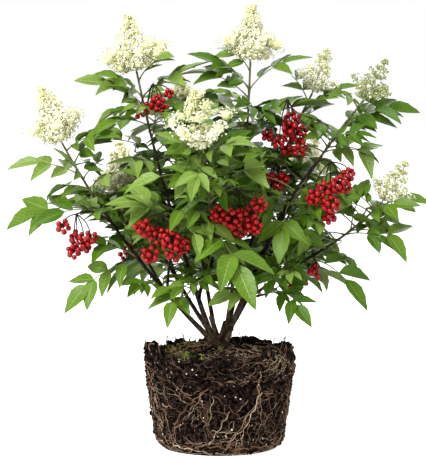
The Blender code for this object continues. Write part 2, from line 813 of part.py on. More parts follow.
def build_foliage(path, shapes, collection, materials):
    """One mass: the leafy end of a cane with its leaves, blossom and fruit fused on."""
    name = "foliage_" + path.cane.name
    pieces = bpy.data.collections.new(name + "_pieces")
    bpy.context.scene.collection.children.link(pieces)
    for number, (slot, bm) in enumerate(shapes):
        mesh = bpy.data.meshes.new(f"{name}_{number}")
        bm.to_mesh(mesh)
        bm.free()
        for material in materials:
            mesh.materials.append(material)
        for face in mesh.polygons:
            face.material_index = slot
        object_from(mesh.name, mesh, pieces)
    first = max(path.cane.leafy_from, path.start())
    points, radii = path.stretch(first, 1.0, CROWN_STEM_STEPS, lead_out=False)
    if path.cane.bloom:
        points.append(path.tip + path.bloom_axis() * path.cane.bloom.height * BLOOM_STEM_SHARE)
        radii.append(CANE_TIP_RADIUS * 0.7)
    stem = limb(name + "_stem", points, radii, collection)
    base = bmesh.new()
    base.from_mesh(stem.data)
    bpy.data.objects.remove(stem)
    return fuse(name, base, BARK, pieces, collection, materials)


def build_bough(path, collection, materials):
    """The bare part of a cane, from the crown or its fork up to its leaves."""
    points, radii = path.stretch(path.start(), path.cane.leafy_from, BOUGH_STEPS)
    bough = limb("bough_" + path.cane.name, points, radii, collection)
    bough.data.materials.append(materials[BARK])
    return bough


def least_gap(mesh, other):
    """Least distance from the edges of one limb to the skin of another."""
    corners = [corner.co for corner in other.vertices]
    skin = BVHTree.FromPolygons(corners, [face.vertices for face in other.polygons])
    gaps = []
    for edge in mesh.edges:
        first, last = (mesh.vertices[end].co for end in edge.vertices)
        for step in range(GAP_SAMPLES + 1):
            gaps.append(skin.find_nearest(first.lerp(last, step / GAP_SAMPLES))[3])
    return min(gaps)


def seat_fork(path, carrier, collection, materials):
    """A forking bough, drawn back along its own line until it lies a seat's gap off its carrier."""
    trial = build_bough(path, collection, materials)
    spare = least_gap(trial.data, carrier.data) - SEAT_GAP
    bpy.data.meshes.remove(trial.data)
    path.drawn_back = spare / math.sin(path.fork_angle())
    return build_bough(path, collection, materials)


def claim_limbs(paths, space):
    """Hold the room of every cane, from its foot to its tip."""
    for path in paths.values():
        points = [path.point(step / 12.0) for step in range(13)]
        radii = [path.radius(step / 12.0) * 1.15 + CLEARANCE for step in range(13)]
        space.claim(path.cane.name, twig_shape(points, [radius * 1.6 for radius in radii]))


def main():
    for old in list(bpy.data.objects):
        bpy.data.objects.remove(old)
    shrub = bpy.data.collections.new("red_elderberry")
    bpy.context.scene.collection.children.link(shrub)
    soil = finish("soil", (0.040, 0.024, 0.015), 0.95)
    materials = shrub_finishes()

    paths = {}
    for cane in CANES:
        paths[cane.name] = CanePath(cane, paths)

    space = Space()
    claim_limbs(paths, space)
    shapes = {name: [] for name in paths}
    for name, path in paths.items():
        if path.cane.bloom:
            draw = random.Random(f"{SEED} {name} blossom")
            blossom = bloom_shape(path.tip, path.bloom_axis(), path.cane.bloom, draw)
            space.claim(name, blossom)
            shapes[name].append((BLOSSOM, blossom))
        for fruit in path.cane.fruit:
            grown = grow_fruit(fruit, path)
            for shape in grown:
                space.claim(name + "_fruit", shape)
            shapes[name].append((BARK, grown[0]))
            shapes[name] += [(BERRY, shape) for shape in grown[1:]]
    for name, path in paths.items():
        for leaf in path.cane.leaves:
            draw = random.Random(f"{SEED} {name} {leaf.at} {leaf.bearing}")
            grown = grow_leaf(leaf, path, space, draw)
            for part, shape in enumerate(grown):
                space.claim(name + ("_leaflet" if part else "_stalk"), shape)
            shapes[name] += [(LEAF, shape) for shape in grown]

    build_root_ball(shrub, soil)
    build_crown(paths, shrub, materials)
    boughs = {}
    for name, path in paths.items():
        if path.parent:
            boughs[name] = seat_fork(path, boughs[path.cane.fork[0]], shrub, materials)
        else:
            boughs[name] = build_bough(path, shrub, materials)
        build_foliage(path, shapes[name], shrub, materials)


main()
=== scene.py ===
"""Looks of a red elderberry lifted out of its container, standing on its bare root ball.

The shrub grows here by the rule of its solids: the same canes, leaves, blossom heads and berry
clusters from the same seeds, carried on to toothed leaflets, florets, single berries, bark and
fine roots. Lengths are metres, Z is up, and the front is seen along +Y. Bearings are degrees
from +X (0 right, 90 back, 180 left, 270 front) and pitches are degrees above level.
"""

import logging
import math
import random
import zlib
from dataclasses import dataclass
from enum import Enum

import bpy
import numpy as np
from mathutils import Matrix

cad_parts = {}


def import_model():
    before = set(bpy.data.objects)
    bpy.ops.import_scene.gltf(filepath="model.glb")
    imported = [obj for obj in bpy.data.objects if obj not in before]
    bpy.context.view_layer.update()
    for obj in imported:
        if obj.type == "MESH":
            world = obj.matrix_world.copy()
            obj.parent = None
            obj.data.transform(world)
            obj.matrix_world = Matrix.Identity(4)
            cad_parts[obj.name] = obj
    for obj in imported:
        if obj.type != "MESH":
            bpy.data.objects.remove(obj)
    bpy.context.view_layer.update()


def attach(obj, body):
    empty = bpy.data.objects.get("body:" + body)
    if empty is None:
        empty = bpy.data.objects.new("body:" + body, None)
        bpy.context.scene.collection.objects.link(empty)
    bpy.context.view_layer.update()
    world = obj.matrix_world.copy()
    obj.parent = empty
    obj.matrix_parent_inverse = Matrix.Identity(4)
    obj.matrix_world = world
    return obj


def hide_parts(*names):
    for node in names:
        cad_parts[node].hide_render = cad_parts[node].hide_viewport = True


Array = np.ndarray
LOG = logging.getLogger("elderberry")
SEED = "elderberry"
BODY = "root"


class Green(Enum):
    """The greens among which the compound leaves are dealt out."""

    DEEP = 0
    MID = 1
    BRIGHT = 2
    PALE = 3


class RootTint(Enum):
    """The tints of the roots on the ball."""

    RUSSET = 0
    TAN = 1
    PALE = 2
    DARK = 3


# Plan of the shrub


@dataclass(frozen=True)
class Leaf:
    """A compound leaf: place along the cane, bearing, pitch, size, pairs of leaflets and green."""

    at: float
    bearing: float
    pitch: float
    size: float = 1.0
    pairs: int = 2
    green: Green | None = None


@dataclass(frozen=True)
class Bloom:
    """A pyramid of blossom; opened is the share of its flowers that are open, from the base up.

    A raised one has its widest tier that share of its height further up. From the front no leaf
    hides a shown one, or only its outer part where it is veiled.
    """

    height: float
    width: float
    opened: float = 0.80
    shown: bool = False
    raised: float = 0.0
    veiled: bool = False


@dataclass(frozen=True)
class Fruit:
    """A hanging cluster: place along the cane, bearing, reach, drop, width, height and berries.

    Each lobe is a place across, deep and up in halves of the cluster's size, and a radius. A
    cluster without lobes gets its own by chance. A shown one is not hidden from the front.
    """

    at: float
    bearing: float
    reach: float
    drop: float
    width: float
    height: float
    berries: int = 60
    lobes: tuple = ()
    shown: bool = False


@dataclass(frozen=True)
class Cane:
    """One cane from foot to tip; sway bows its middle, fill is how many small leaves it adds,
    twigs how many side shoots, bare the stretch that no leaf hides from the front, and young how
    green its tip is, where a low value is old dark bark."""

    name: str
    tip: tuple
    sway: tuple
    leafy_from: float
    thick: float
    leaves: tuple
    bloom: Bloom | None = None
    fruit: tuple = ()
    fork: tuple | None = None
    fill: int = 12
    twigs: int = 3
    green: Green | None = None
    bare: tuple = ()
    young: float = 1.0


CANES = (
    Cane("left_long", (-0.312, -0.03, 0.61), (-0.014, -0.02, -0.01), 0.42, 0.0056,
         leaves=(Leaf(0.45, 206, -20, 0.92, 3, Green.MID), Leaf(0.45, 50, 35, 0.85),
         Leaf(0.68, 183, 5, 1.02, 3, Green.MID), Leaf(0.68, 15, 72, 0.8), Leaf(0.85, 180, 22, 0.9),
         Leaf(0.85, 10, 30, 0.7)), fill=9, bare=(0.35, 0.64), bloom=Bloom(0.122, 0.118, 0.72, shown=True),
         fruit=(Fruit(0.62, 206, 0.078, 0.026, 0.086, 0.08, 44, shown=True, lobes=((-0.6, -0.2, 0.6, 0.42),
         (0.0, 0.2, 0.05, 0.45), (0.65, -0.1, 0.05, 0.42), (-0.15, 0.1, -0.6, 0.42),
         (0.35, 0.3, -0.4, 0.35))),)),
    Cane("upper_left", (-0.166, 0.02, 0.752), (-0.01, -0.012, 0.0), 0.52, 0.0058,
         leaves=(Leaf(0.56, 240, 5, 0.9), Leaf(0.56, 80, 30, 0.9), Leaf(0.7, 182, 22, 1.0, 2, Green.BRIGHT),
         Leaf(0.7, 20, 38, 0.9), Leaf(0.87, 184, 38, 0.92, 2, Green.BRIGHT), Leaf(0.87, 356, 50, 0.98)),
         bare=(0.5, 0.82), bloom=Bloom(0.116, 0.124, 0.74, shown=True), fruit=(Fruit(0.84, 300, 0.036,
         -0.022, 0.08, 0.06, 34, lobes=((0.7, 0.1, 0.7, 0.3), (0.15, -0.15, 0.1, 0.5),
         (-0.2, 0.15, -0.25, 0.45), (-0.75, 0.0, -0.65, 0.3), (0.45, 0.1, -0.35, 0.35))),)),
    Cane("centre_top", (0.062, 0.03, 0.772), (0.008, -0.006, 0.0), 0.56, 0.005,
         leaves=(Leaf(0.6, 275, -5, 0.9), Leaf(0.6, 95, 20, 0.9), Leaf(0.74, 4, 36, 1.15),
         Leaf(0.74, 186, 38, 1.05), Leaf(0.66, 340, 8, 0.9), Leaf(0.66, 165, 20, 0.85),
         Leaf(0.9, 184, 46, 0.9), Leaf(0.9, 356, 44, 0.9, 2, Green.MID)),
         bloom=Bloom(0.117, 0.116, 0.7, shown=True)),
    Cane("right_inner", (0.19, 0.1, 0.708), (-0.016, 0.0, 0.006), 0.5, 0.005,
         leaves=(Leaf(0.54, 330, 0, 0.85), Leaf(0.54, 150, 20, 0.85), Leaf(0.7, 218, 14, 0.8),
         Leaf(0.7, 60, 30, 0.85), Leaf(0.85, 350, -5, 0.9), Leaf(0.9, 184, 44, 0.9),
         Leaf(0.92, 356, 40, 0.8)), bloom=Bloom(0.102, 0.09, 0.55, shown=True), fruit=(Fruit(0.8, 264,
         0.085, -0.02, 0.104, 0.104, 70, shown=True, lobes=((0.2, 0.1, 0.5, 0.38),
         (-0.75, 0.0, -0.15, 0.28), (-0.3, -0.1, -0.4, 0.33), (0.4, 0.15, -0.1, 0.45),
         (0.1, -0.2, 0.1, 0.4), (0.5, -0.1, -0.65, 0.35), (0.0, 0.1, -0.7, 0.3))), Fruit(0.62, 282, 0.05,
         -0.012, 0.062, 0.044, 22, shown=True, lobes=((-0.5, 0.0, 0.1, 0.5), (0.3, 0.0, 0.0, 0.55),
         (0.0, 0.0, -0.4, 0.5))))),
    Cane("right_long", (0.288, 0.0, 0.694), (-0.016, 0.006, 0.02), 0.44, 0.0058,
         leaves=(Leaf(0.5, 285, -34, 0.95), Leaf(0.5, 120, 20, 0.85), Leaf(0.63, 290, 5, 0.85),
         Leaf(0.63, 100, 25, 0.85), Leaf(0.78, 346, -3, 0.92), Leaf(0.78, 165, 48, 0.8),
         Leaf(0.89, 2, 24, 0.95), Leaf(0.89, 172, 62, 0.8)), fill=10, bare=(0.46, 0.8),
         bloom=Bloom(0.096, 0.08, 0.12, shown=True)),
    Cane("back_left", (-0.19, 0.25, 0.515), (-0.01, 0.02, -0.006), 0.46, 0.0052,
         leaves=(Leaf(0.52, 150, -10), Leaf(0.52, 320, 30, 0.8), Leaf(0.72, 185, 10, 1.05),
         Leaf(0.72, 30, 30, 0.9), Leaf(0.88, 125, 10), Leaf(0.88, 300, 40, 0.8)), bloom=Bloom(0.1, 0.104),
         fruit=(Fruit(0.66, 120, 0.07, 0.03, 0.09, 0.084),)),
    Cane("back_centre", (-0.078, 0.16, 0.69), (-0.006, 0.014, 0.0), 0.54, 0.0048,
         leaves=(Leaf(0.6, 100, 5, 0.95), Leaf(0.6, 270, 20, 0.8), Leaf(0.8, 80, 25, 0.95),
         Leaf(0.8, 250, 25, 0.75)), bloom=Bloom(0.066, 0.058)),
    Cane("back_right", (0.185, 0.27, 0.53), (0.008, 0.02, -0.006), 0.46, 0.0052,
         leaves=(Leaf(0.52, 40, -10), Leaf(0.52, 230, 30, 0.8), Leaf(0.72, 350, 8, 1.05),
         Leaf(0.72, 140, 30, 0.9), Leaf(0.88, 60, 12), Leaf(0.88, 225, 40, 0.8)), bloom=Bloom(0.1, 0.104),
         fruit=(Fruit(0.66, 112, 0.07, 0.024, 0.09, 0.084),)),
    Cane("left_behind", (-0.205, 0.12, 0.505), (-0.01, 0.01, -0.01), 0.48, 0.0034,
         leaves=(Leaf(0.56, 165, 10, 0.9), Leaf(0.56, 350, 30, 0.8), Leaf(0.82, 195, 25, 0.85),
         Leaf(0.82, 15, 45, 0.75)), fork=("left_long", 0.24),
         bloom=Bloom(0.088, 0.086, 0.9, shown=True, veiled=True)),
    Cane("left_inner", (-0.07, -0.13, 0.478), (-0.008, -0.012, 0.0), 0.55, 0.0032,
         leaves=(Leaf(0.97, 176, 24, 0.95), Leaf(0.97, 292, -28, 0.66), Leaf(0.72, 130, 15, 0.85),
         Leaf(0.72, 20, 30, 0.7)), fork=("left_long", 0.27), green=Green.BRIGHT, fruit=(Fruit(0.86, 228,
         0.05, 0.03, 0.106, 0.088, 78, shown=True, lobes=((-0.65, -0.1, 0.6, 0.4), (-0.2, 0.15, 0.25, 0.45),
         (0.35, -0.15, 0.05, 0.5), (0.75, 0.1, -0.15, 0.38), (-0.4, 0.1, -0.6, 0.42),
         (0.45, -0.1, -0.45, 0.4))),)),
    Cane("front_centre", (-0.031, -0.2, 0.596), (0.018, -0.02, -0.006), 0.42, 0.004,
         leaves=(Leaf(0.52, 296, -27, 1.3), Leaf(0.52, 110, 30, 0.8), Leaf(0.68, 200, 5, 0.95),
         Leaf(0.68, 34, 30, 0.7), Leaf(0.84, 184, 8, 1.0, 2, Green.BRIGHT),
         Leaf(0.84, 356, 14, 1.0, 2, Green.BRIGHT), Leaf(0.94, 255, -20, 0.7, 2, Green.BRIGHT),
         Leaf(0.94, 75, 20, 0.65)), fork=("upper_left", 0.165),
         bloom=Bloom(0.126, 0.122, 0.7, shown=True, raised=0.13), fruit=(Fruit(0.66, 345, 0.056, 0.015,
         0.112, 0.08, 82, shown=True, lobes=((-0.65, 0.1, 0.05, 0.4), (-0.2, -0.15, -0.1, 0.5),
         (0.3, 0.1, -0.05, 0.5), (0.7, -0.1, 0.55, 0.38), (0.05, 0.15, -0.65, 0.42),
         (0.55, -0.1, -0.5, 0.38))),)),
    Cane("right_front", (0.18, -0.095, 0.565), (-0.006, -0.01, 0.004), 0.4, 0.0038,
         leaves=(Leaf(0.55, 262, -30, 0.95), Leaf(0.55, 80, 22, 0.75), Leaf(0.97, 200, 15, 0.8),
         Leaf(0.97, 120, 30, 0.75)), fork=("right_long", 0.36), young=0.66, fruit=(Fruit(0.93, 335, 0.046,
         0.046, 0.092, 0.108, 80, shown=True, lobes=((0.78, 0.1, 0.8, 0.28), (0.35, -0.1, 0.45, 0.42),
         (0.65, 0.2, 0.35, 0.3), (-0.2, 0.1, 0.2, 0.45), (-0.7, 0.0, -0.05, 0.35), (0.0, -0.15, -0.3, 0.42),
         (0.0, 0.1, -0.78, 0.3))),)),
    Cane("low_right", (0.322, -0.03, 0.492), (0.008, -0.02, -0.016), 0.42, 0.0042,
         leaves=(Leaf(0.42, 324, -20, 1.02, 2, Green.DEEP), Leaf(0.48, 155, 40, 0.7),
         Leaf(0.74, 50, 70, 0.75), Leaf(0.74, 352, -4, 1.02), Leaf(0.93, 150, 45, 0.55)),
         fork=("right_long", 0.22), bloom=Bloom(0.098, 0.086, 0.4, shown=True),
         fruit=(Fruit(0.44, 285, 0.016, 0.03, 0.028, 0.04, 9, shown=True),)),
    Cane("low_front_right", (0.106, -0.09, 0.325), (0.004, -0.006, -0.004), 0.3, 0.0027,
         leaves=(Leaf(1.0, 312, -17, 0.76, 2, Green.DEEP), Leaf(1.0, 110, 50, 0.7),
         Leaf(0.72, 240, 5, 0.65)), fork=("right_long", 0.165), fill=2, green=Green.DEEP),
    Cane("low_front_left", (-0.072, -0.085, 0.325), (0.0, -0.006, -0.004), 0.3, 0.0027,
         leaves=(Leaf(1.0, 257, -9, 0.8, 2, Green.MID), Leaf(1.0, 80, 40, 0.6)), fork=("left_long", 0.2),
         fill=0),
    Cane("back_low_left", (-0.12, 0.32, 0.4), (-0.004, 0.016, -0.012), 0.4, 0.0038,
         leaves=(Leaf(0.55, 165, 5, 0.95), Leaf(0.55, 20, 20, 0.8), Leaf(0.85, 120, -10),
         Leaf(0.85, 20, 5, 0.95)), fork=("back_left", 0.26), bloom=Bloom(0.086, 0.084)),
    Cane("back_low_right", (0.2, 0.3, 0.39), (0.004, 0.016, -0.012), 0.4, 0.0038,
         leaves=(Leaf(0.55, 10, 0, 0.95), Leaf(0.55, 150, 10, 0.8), Leaf(0.97, 30, 0, 0.95),
         Leaf(0.97, 135, 10, 0.9)), fork=("back_right", 0.26),
         fruit=(Fruit(0.7, 80, 0.06, 0.04, 0.086, 0.08),)),
    Cane("back_mid", (0.035, 0.34, 0.53), (0.0, 0.02, -0.01), 0.44, 0.004, leaves=(Leaf(0.55, 100, -12),
         Leaf(0.55, 275, 30, 0.8), Leaf(0.8, 60, 10), Leaf(0.8, 170, 15, 0.95)), fork=("back_centre", 0.24),
         bloom=Bloom(0.1, 0.1), fruit=(Fruit(0.7, 95, 0.06, 0.035, 0.09, 0.084),)),
)


# Arrays


def unit(ways: Array) -> Array:
    """Directions brought to length one along the last axis."""
    return ways / np.maximum(np.linalg.norm(ways, axis=-1, keepdims=True), 1e-9)


def heading(bearing: Array | float, pitch: Array | float) -> Array:
    """Unit directions for bearings and pitches in degrees."""
    turn, rise = np.radians(bearing), np.radians(pitch)
    level = np.cos(rise)
    return np.stack([level * np.cos(turn), level * np.sin(turn), np.sin(rise) * np.ones_like(level)], -1)


def dice(name: str) -> np.random.Generator:
    """A generator that gives the same numbers for the same name on every run."""
    return np.random.default_rng(zlib.crc32(f"{SEED} {name}".encode()))


def value_noise(points: Array, scale: float, salt: int) -> Array:
    """Smooth random values from -1 to 1 at points in space.

    Each corner of a grid of 1 / scale metres holds a hashed value, and a point takes their mix by
    its eased place within its cell.

    Args:
        points: places, with x, y, z on the last axis.
        scale: cells per metre.
        salt: tells one field from another.

    Returns:
        One value for each point.
    """
    spots = points * scale + 1000.0
    cell = np.floor(spots).astype(np.int64)
    part = spots - cell
    part = part * part * (3.0 - 2.0 * part)
    total = np.zeros(points.shape[:-1])
    for corner in range(8):
        step = np.array([corner & 1, corner >> 1 & 1, corner >> 2 & 1])
        x, y, z = np.moveaxis(cell + step, -1, 0)
        mixed = (x * 73856093) ^ (y * 19349663) ^ (z * 83492791) ^ (salt * 2654435761)
        mixed = (mixed ^ (mixed >> 13)) * 1274126177 & 0xFFFFFFFF
        value = (mixed >> 8 & 0xFFFF) / 32767.5 - 1.0
        total += value * np.prod(np.where(step, part, 1.0 - part), axis=-1)
    return total


def rough(points: Array, scale: float, salt: int, octaves: int = 3) -> Array:
    """Layers of value noise, each twice as fine and half as strong as the one before."""
    layers = [value_noise(points, scale * 2.0**i, salt + i) * 0.5**i for i in range(octaves)]
    return np.sum(layers, axis=0)


def tube_faces(rows: int, sides: int, inward: bool = False) -> list[Array]:
    """Faces of rings of points that follow each other, then a hub at the first and at the last.

    Args:
        rows: how many rings.
        sides: points in a ring.
        inward: turn every face over.

    Returns:
        [quads between the rings, triangles round the hubs].
    """
    row, place = np.meshgrid(np.arange(rows - 1), np.arange(sides), indexing="ij")
    here = (row * sides + place).ravel()
    beside = (row * sides + (place + 1) % sides).ravel()
    quads = np.stack([here, beside, beside + sides, here + sides], -1)
    one = np.arange(sides)
    two = (one + 1) % sides
    last = (rows - 1) * sides
    hub = np.full(sides, rows * sides)
    caps = np.concatenate([np.stack([hub, two, one], -1), np.stack([hub + 1, one + last, two + last], -1)])
    return [quads[:, [0, 3, 2, 1]], caps[:, [0, 2, 1]]] if inward else [quads, caps]


def sweep(paths: Array, radii: Array, sides: int, hints: Array | None = None) -> tuple[Array, list[Array]]:
    """Round tubes along many paths at once, closed at both ends.

    A ring is its centre + radius * (side * cos + over * sin) round the turn, where side is the hint
    made square to the path and over is the cross product of the path's direction and side.

    Args:
        paths: (tubes, rings, 3) centres.
        radii: (rings,), (tubes, rings) or, for a tube with relief, (tubes, rings, sides) radii.
        sides: points in a ring.
        hints: (tubes, 3) directions that no path runs along; else the axis each runs along least.

    Returns:
        ((tubes, points, 3) places, face blocks of one tube).
    """
    if hints is None:
        hints = np.eye(3)[np.argmin(np.abs(paths[:, -1] - paths[:, 0]), axis=1)]
    along = unit(np.gradient(paths, axis=1))
    side = unit(hints[:, None] - along * np.sum(hints[:, None] * along, -1, keepdims=True))
    over = np.cross(along, side)
    turn = np.linspace(0.0, 2.0 * np.pi, sides, endpoint=False)[:, None]
    ring = side[:, :, None] * np.cos(turn) + over[:, :, None] * np.sin(turn)
    wide = radii[..., None] if radii.ndim == 3 else radii[..., None, None]
    skin = (paths[:, :, None] + wide * ring).reshape(len(paths), -1, 3)
    return np.concatenate([skin, paths[:, :1], paths[:, -1:]], axis=1), tube_faces(paths.shape[1], sides)


def bent(start: Array, middle: Array, end: Array, rings: int) -> Array:
    """Quadratic curves from starts to ends that are drawn towards the middles, as (k, rings, 3)."""
    share = np.linspace(0.0, 1.0, rings)[None, :, None]
    rest = 1.0 - share
    return start[:, None] * rest**2 + middle[:, None] * 2.0 * rest * share + end[:, None] * share**2


def through(lines: list[Array], rings: int) -> Array:
    """Quadratic curves through three points each."""
    start, half_way, end = np.moveaxis(np.array(lines), 1, 0)
    return bent(start, half_way * 2.0 - (start + end) / 2.0, end, rings)


def copies(shape: Array, spots: Array, turns: Array, size: Array) -> Array:
    """A shape at each spot, scaled by its size and turned by its matrix, as (k, points, 3)."""
    return spots[:, None] + np.einsum("kij,knj->kni", turns, shape[None] * size[:, None, None])


def spikes(start: Array, end: Array, radius: float) -> tuple[Array, list[Array]]:
    """Closed three-sided spikes that run from starts to a point at the ends."""
    turn = np.arange(3) * 2.0 * np.pi / 3.0
    foot = np.stack([np.cos(turn), np.sin(turn), 0.0 * turn], -1)
    feet = copies(foot, start, standing(unit(end - start)), np.full(len(start), radius))
    return np.concatenate([feet, end[:, None]], axis=1), [np.array([[0, 2, 1], [0, 1, 3], [1, 2, 3], [2, 0, 3]])]


def ball_shape(rings: int, sides: int) -> tuple[Array, list[Array]]:
    """A unit ball of rings and sides with a point at each pole."""
    tilt = np.linspace(0.0, np.pi, rings + 1)[1:-1, None]
    turn = np.linspace(0.0, 2.0 * np.pi, sides, endpoint=False)[None]
    skin = np.stack([np.sin(tilt) * np.cos(turn), np.sin(tilt) * np.sin(turn), np.cos(tilt) + 0 * turn], -1)
    points = np.concatenate([skin.reshape(-1, 3), [[0, 0, 1.0]], [[0, 0, -1.0]]])
    return points, tube_faces(rings - 1, sides, inward=True)


def standing(axes: Array) -> Array:
    """Turns whose third column is each axis, as (k, 3, 3) matrices."""
    hint = np.where(np.abs(axes[:, 2:3]) < 0.9, [[0.0, 0.0, 1.0]], [[1.0, 0.0, 0.0]])
    side = unit(np.cross(hint, axes))
    return np.stack([side, np.cross(axes, side), axes], -1)


class Meshwork:
    """Shapes gathered as arrays and joined into one object."""

    def __init__(self, name: str) -> None:
        """Start an empty gathering under the name of its piece."""
        self.name = name
        self.parts: list[tuple[Array, Array, Array]] = []
        self.faces: list[Array] = []
        self.slots: list[Array] = []
        self.count = 0

    def add(self, points: Array, faces: list[Array], slot: Array | int = 0, tone: Array | float = 0.0,
            chart: Array | float = 0.0) -> "Meshwork":
        """Take in copies of a shape.

        Args:
            points: (copies, points, 3) places.
            faces: blocks of one copy's faces, one block for each number of corners.
            slot: material slot, one for all or one for each copy.
            tone: a value from 0 to 1 that a finish may read, one for all or for each point.
            chart: places on a leaf, along it and across it, for each point of one copy.

        Returns:
            This gathering.
        """
        number, stride = points.shape[:2]
        flat = [points, np.broadcast_to(tone, (number, stride)), np.broadcast_to(chart, (number, stride, 2))]
        self.parts.append((flat[0].reshape(-1, 3), flat[1].ravel(), flat[2].reshape(-1, 2)))
        steps = self.count + np.arange(number)[:, None, None] * stride
        for block in faces:
            self.faces.append((block[None] + steps).reshape(-1, block.shape[1]))
            self.slots.append(np.repeat(np.broadcast_to(slot, number), len(block)))
        self.count += number * stride
        return self

    def piece(self, finishes: list[bpy.types.Material], crease: float = 50.0) -> bpy.types.Object:
        """Join everything into one smooth-shaded object.

        Args:
            finishes: materials, in the order of the slots.
            crease: angle in degrees past which an edge stays sharp.

        Returns:
            The new object, at the origin.
        """
        mesh = bpy.data.meshes.new(self.name)
        points, tones, charts = (np.concatenate(part).astype(np.float32) for part in zip(*self.parts))
        corners = np.concatenate([block.ravel() for block in self.faces]).astype(np.int32)
        sizes = np.concatenate([np.full(len(block), block.shape[1]) for block in self.faces])
        starts = np.concatenate([[0], np.cumsum(sizes)[:-1]]).astype(np.int32)
        mesh.vertices.add(self.count)
        mesh.vertices.foreach_set("co", points.ravel())
        mesh.loops.add(len(corners))
        mesh.loops.foreach_set("vertex_index", corners)
        mesh.polygons.add(len(sizes))
        mesh.polygons.foreach_set("loop_start", starts)
        mesh.polygons.foreach_set("material_index", np.concatenate(self.slots).astype(np.int32))
        mesh.update(calc_edges=True)
        mesh.attributes.new("tone", "FLOAT", "POINT").data.foreach_set("value", tones)
        mesh.uv_layers.new(name="UVMap").data.foreach_set("uv", charts[corners].ravel())
        mesh.shade_smooth()
        mesh.set_sharp_from_angle(angle=math.radians(crease))
        for finish in finishes:
            mesh.materials.append(finish)
        piece = bpy.data.objects.new(self.name, mesh)
        bpy.context.scene.collection.objects.link(piece)
        LOG.info("%s: %d faces", self.name, len(sizes))
        return piece


# Finishes


@dataclass(frozen=True)
class Wiring:
    """Places and joins nodes in one tree."""

    tree: bpy.types.NodeTree

    def feed(self, node: bpy.types.Node, inputs: dict) -> None:
        """Give inputs of a node the sockets that feed them or their plain values."""
        for name, value in inputs.items():
            if isinstance(value, bpy.types.NodeSocket):
                self.tree.links.new(value, node.inputs[name])
            else:
                node.inputs[name].default_value = (*value, 1.0) if isinstance(value, tuple) else value

    def node(self, kind: str, inputs: dict | None = None, **settings: object) -> bpy.types.bpy_prop_collection:
        """Place a node.

        Args:
            kind: its type, without the ShaderNode that each begins with.
            inputs: names or numbers of inputs to sockets or plain values.
            settings: its other settings.

        Returns:
            Its outputs.
        """
        node = self.tree.nodes.new("ShaderNode" + kind)
        for name, value in settings.items():
            setattr(node, name, value)
        self.feed(node, inputs or {})
        return node.outputs

    def math(self, operation: str, *values: object) -> bpy.types.NodeSocket:
        """A sum on sockets or numbers."""
        return self.node("Math", dict(enumerate(values)), operation=operation)[0]

    def mix(self, factor: bpy.types.NodeSocket, first: object, second: object) -> bpy.types.NodeSocket:
        """A colour between two by a factor."""
        return self.node("Mix", {"Factor": factor, "A": first, "B": second}, data_type="RGBA")["Result"]

    def spread(self, value: bpy.types.NodeSocket, low: object, high: object) -> bpy.types.NodeSocket:
        """A value's place between a low and a high one, from 0 to 1."""
        return self.node("MapRange", {"Value": value, "From Min": low, "From Max": high})["Result"]

    def tone(self) -> bpy.types.NodeSocket:
        """The tone of the piece's points."""
        return self.node("Attribute", attribute_name="tone")["Fac"]

    def bump(self, height: bpy.types.NodeSocket, strength: float, distance: float) -> bpy.types.NodeSocket:
        """A normal that leans by a height."""
        return self.node("Bump", {"Height": height, "Strength": strength, "Distance": distance})["Normal"]


def new_group(name: str, inputs: dict[str, object], outputs: tuple[str, ...]) -> tuple:
    """An empty shader node group.

    Args:
        name: the group's name.
        inputs: names to first values, where a tuple makes a colour and a number makes a number.
        outputs: names, where Color is a colour and any other is a number.

    Returns:
        (its wiring, the sockets of its inputs, the node that takes its outputs).
    """
    group = bpy.data.node_groups.new(name, "ShaderNodeTree")
    kinds = ("NodeSocketFloat", "NodeSocketColor")
    for label, value in inputs.items():
        colour = isinstance(value, tuple)
        socket = group.interface.new_socket(label, in_out="INPUT", socket_type=kinds[colour])
        socket.default_value = (*value, 1.0) if colour else value
    for label in outputs:
        group.interface.new_socket(label, in_out="OUTPUT", socket_type=kinds[label == "Color"])
    return Wiring(group), group.nodes.new("NodeGroupInput").outputs, group.nodes.new("NodeGroupOutput")


def mottle_group() -> bpy.types.NodeTree:
    """Colour that drifts between dark and light over the surface, and a fine height to go with it.

    A broad noise * 0.55 + a fine noise * 0.45 runs from all dark to all light.
    """
    wiring, given, out = new_group(
        "mottle",
        {"Scale": 60.0, "Fine": 400.0, "Dark": (0.1, 0.1, 0.1), "Light": (0.3, 0.3, 0.3),
         "All Dark": 0.36, "All Light": 0.64},
        ("Color", "Height"),
    )
    where = wiring.node("TexCoord")["Object"]
    broad, fine = (
        wiring.node("TexNoise", {"Vector": where, "Scale": given[scale], "Detail": detail})["Fac"]
        for scale, detail in (("Scale", 4.0), ("Fine", 5.0))
    )
    both = wiring.math("MULTIPLY_ADD", broad, 0.55, wiring.math("MULTIPLY", fine, 0.45))
    share = wiring.spread(both, given["All Dark"], given["All Light"])
    wiring.feed(out, {"Color": wiring.mix(share, given["Dark"], given["Light"]), "Height": fine})
    return wiring.tree


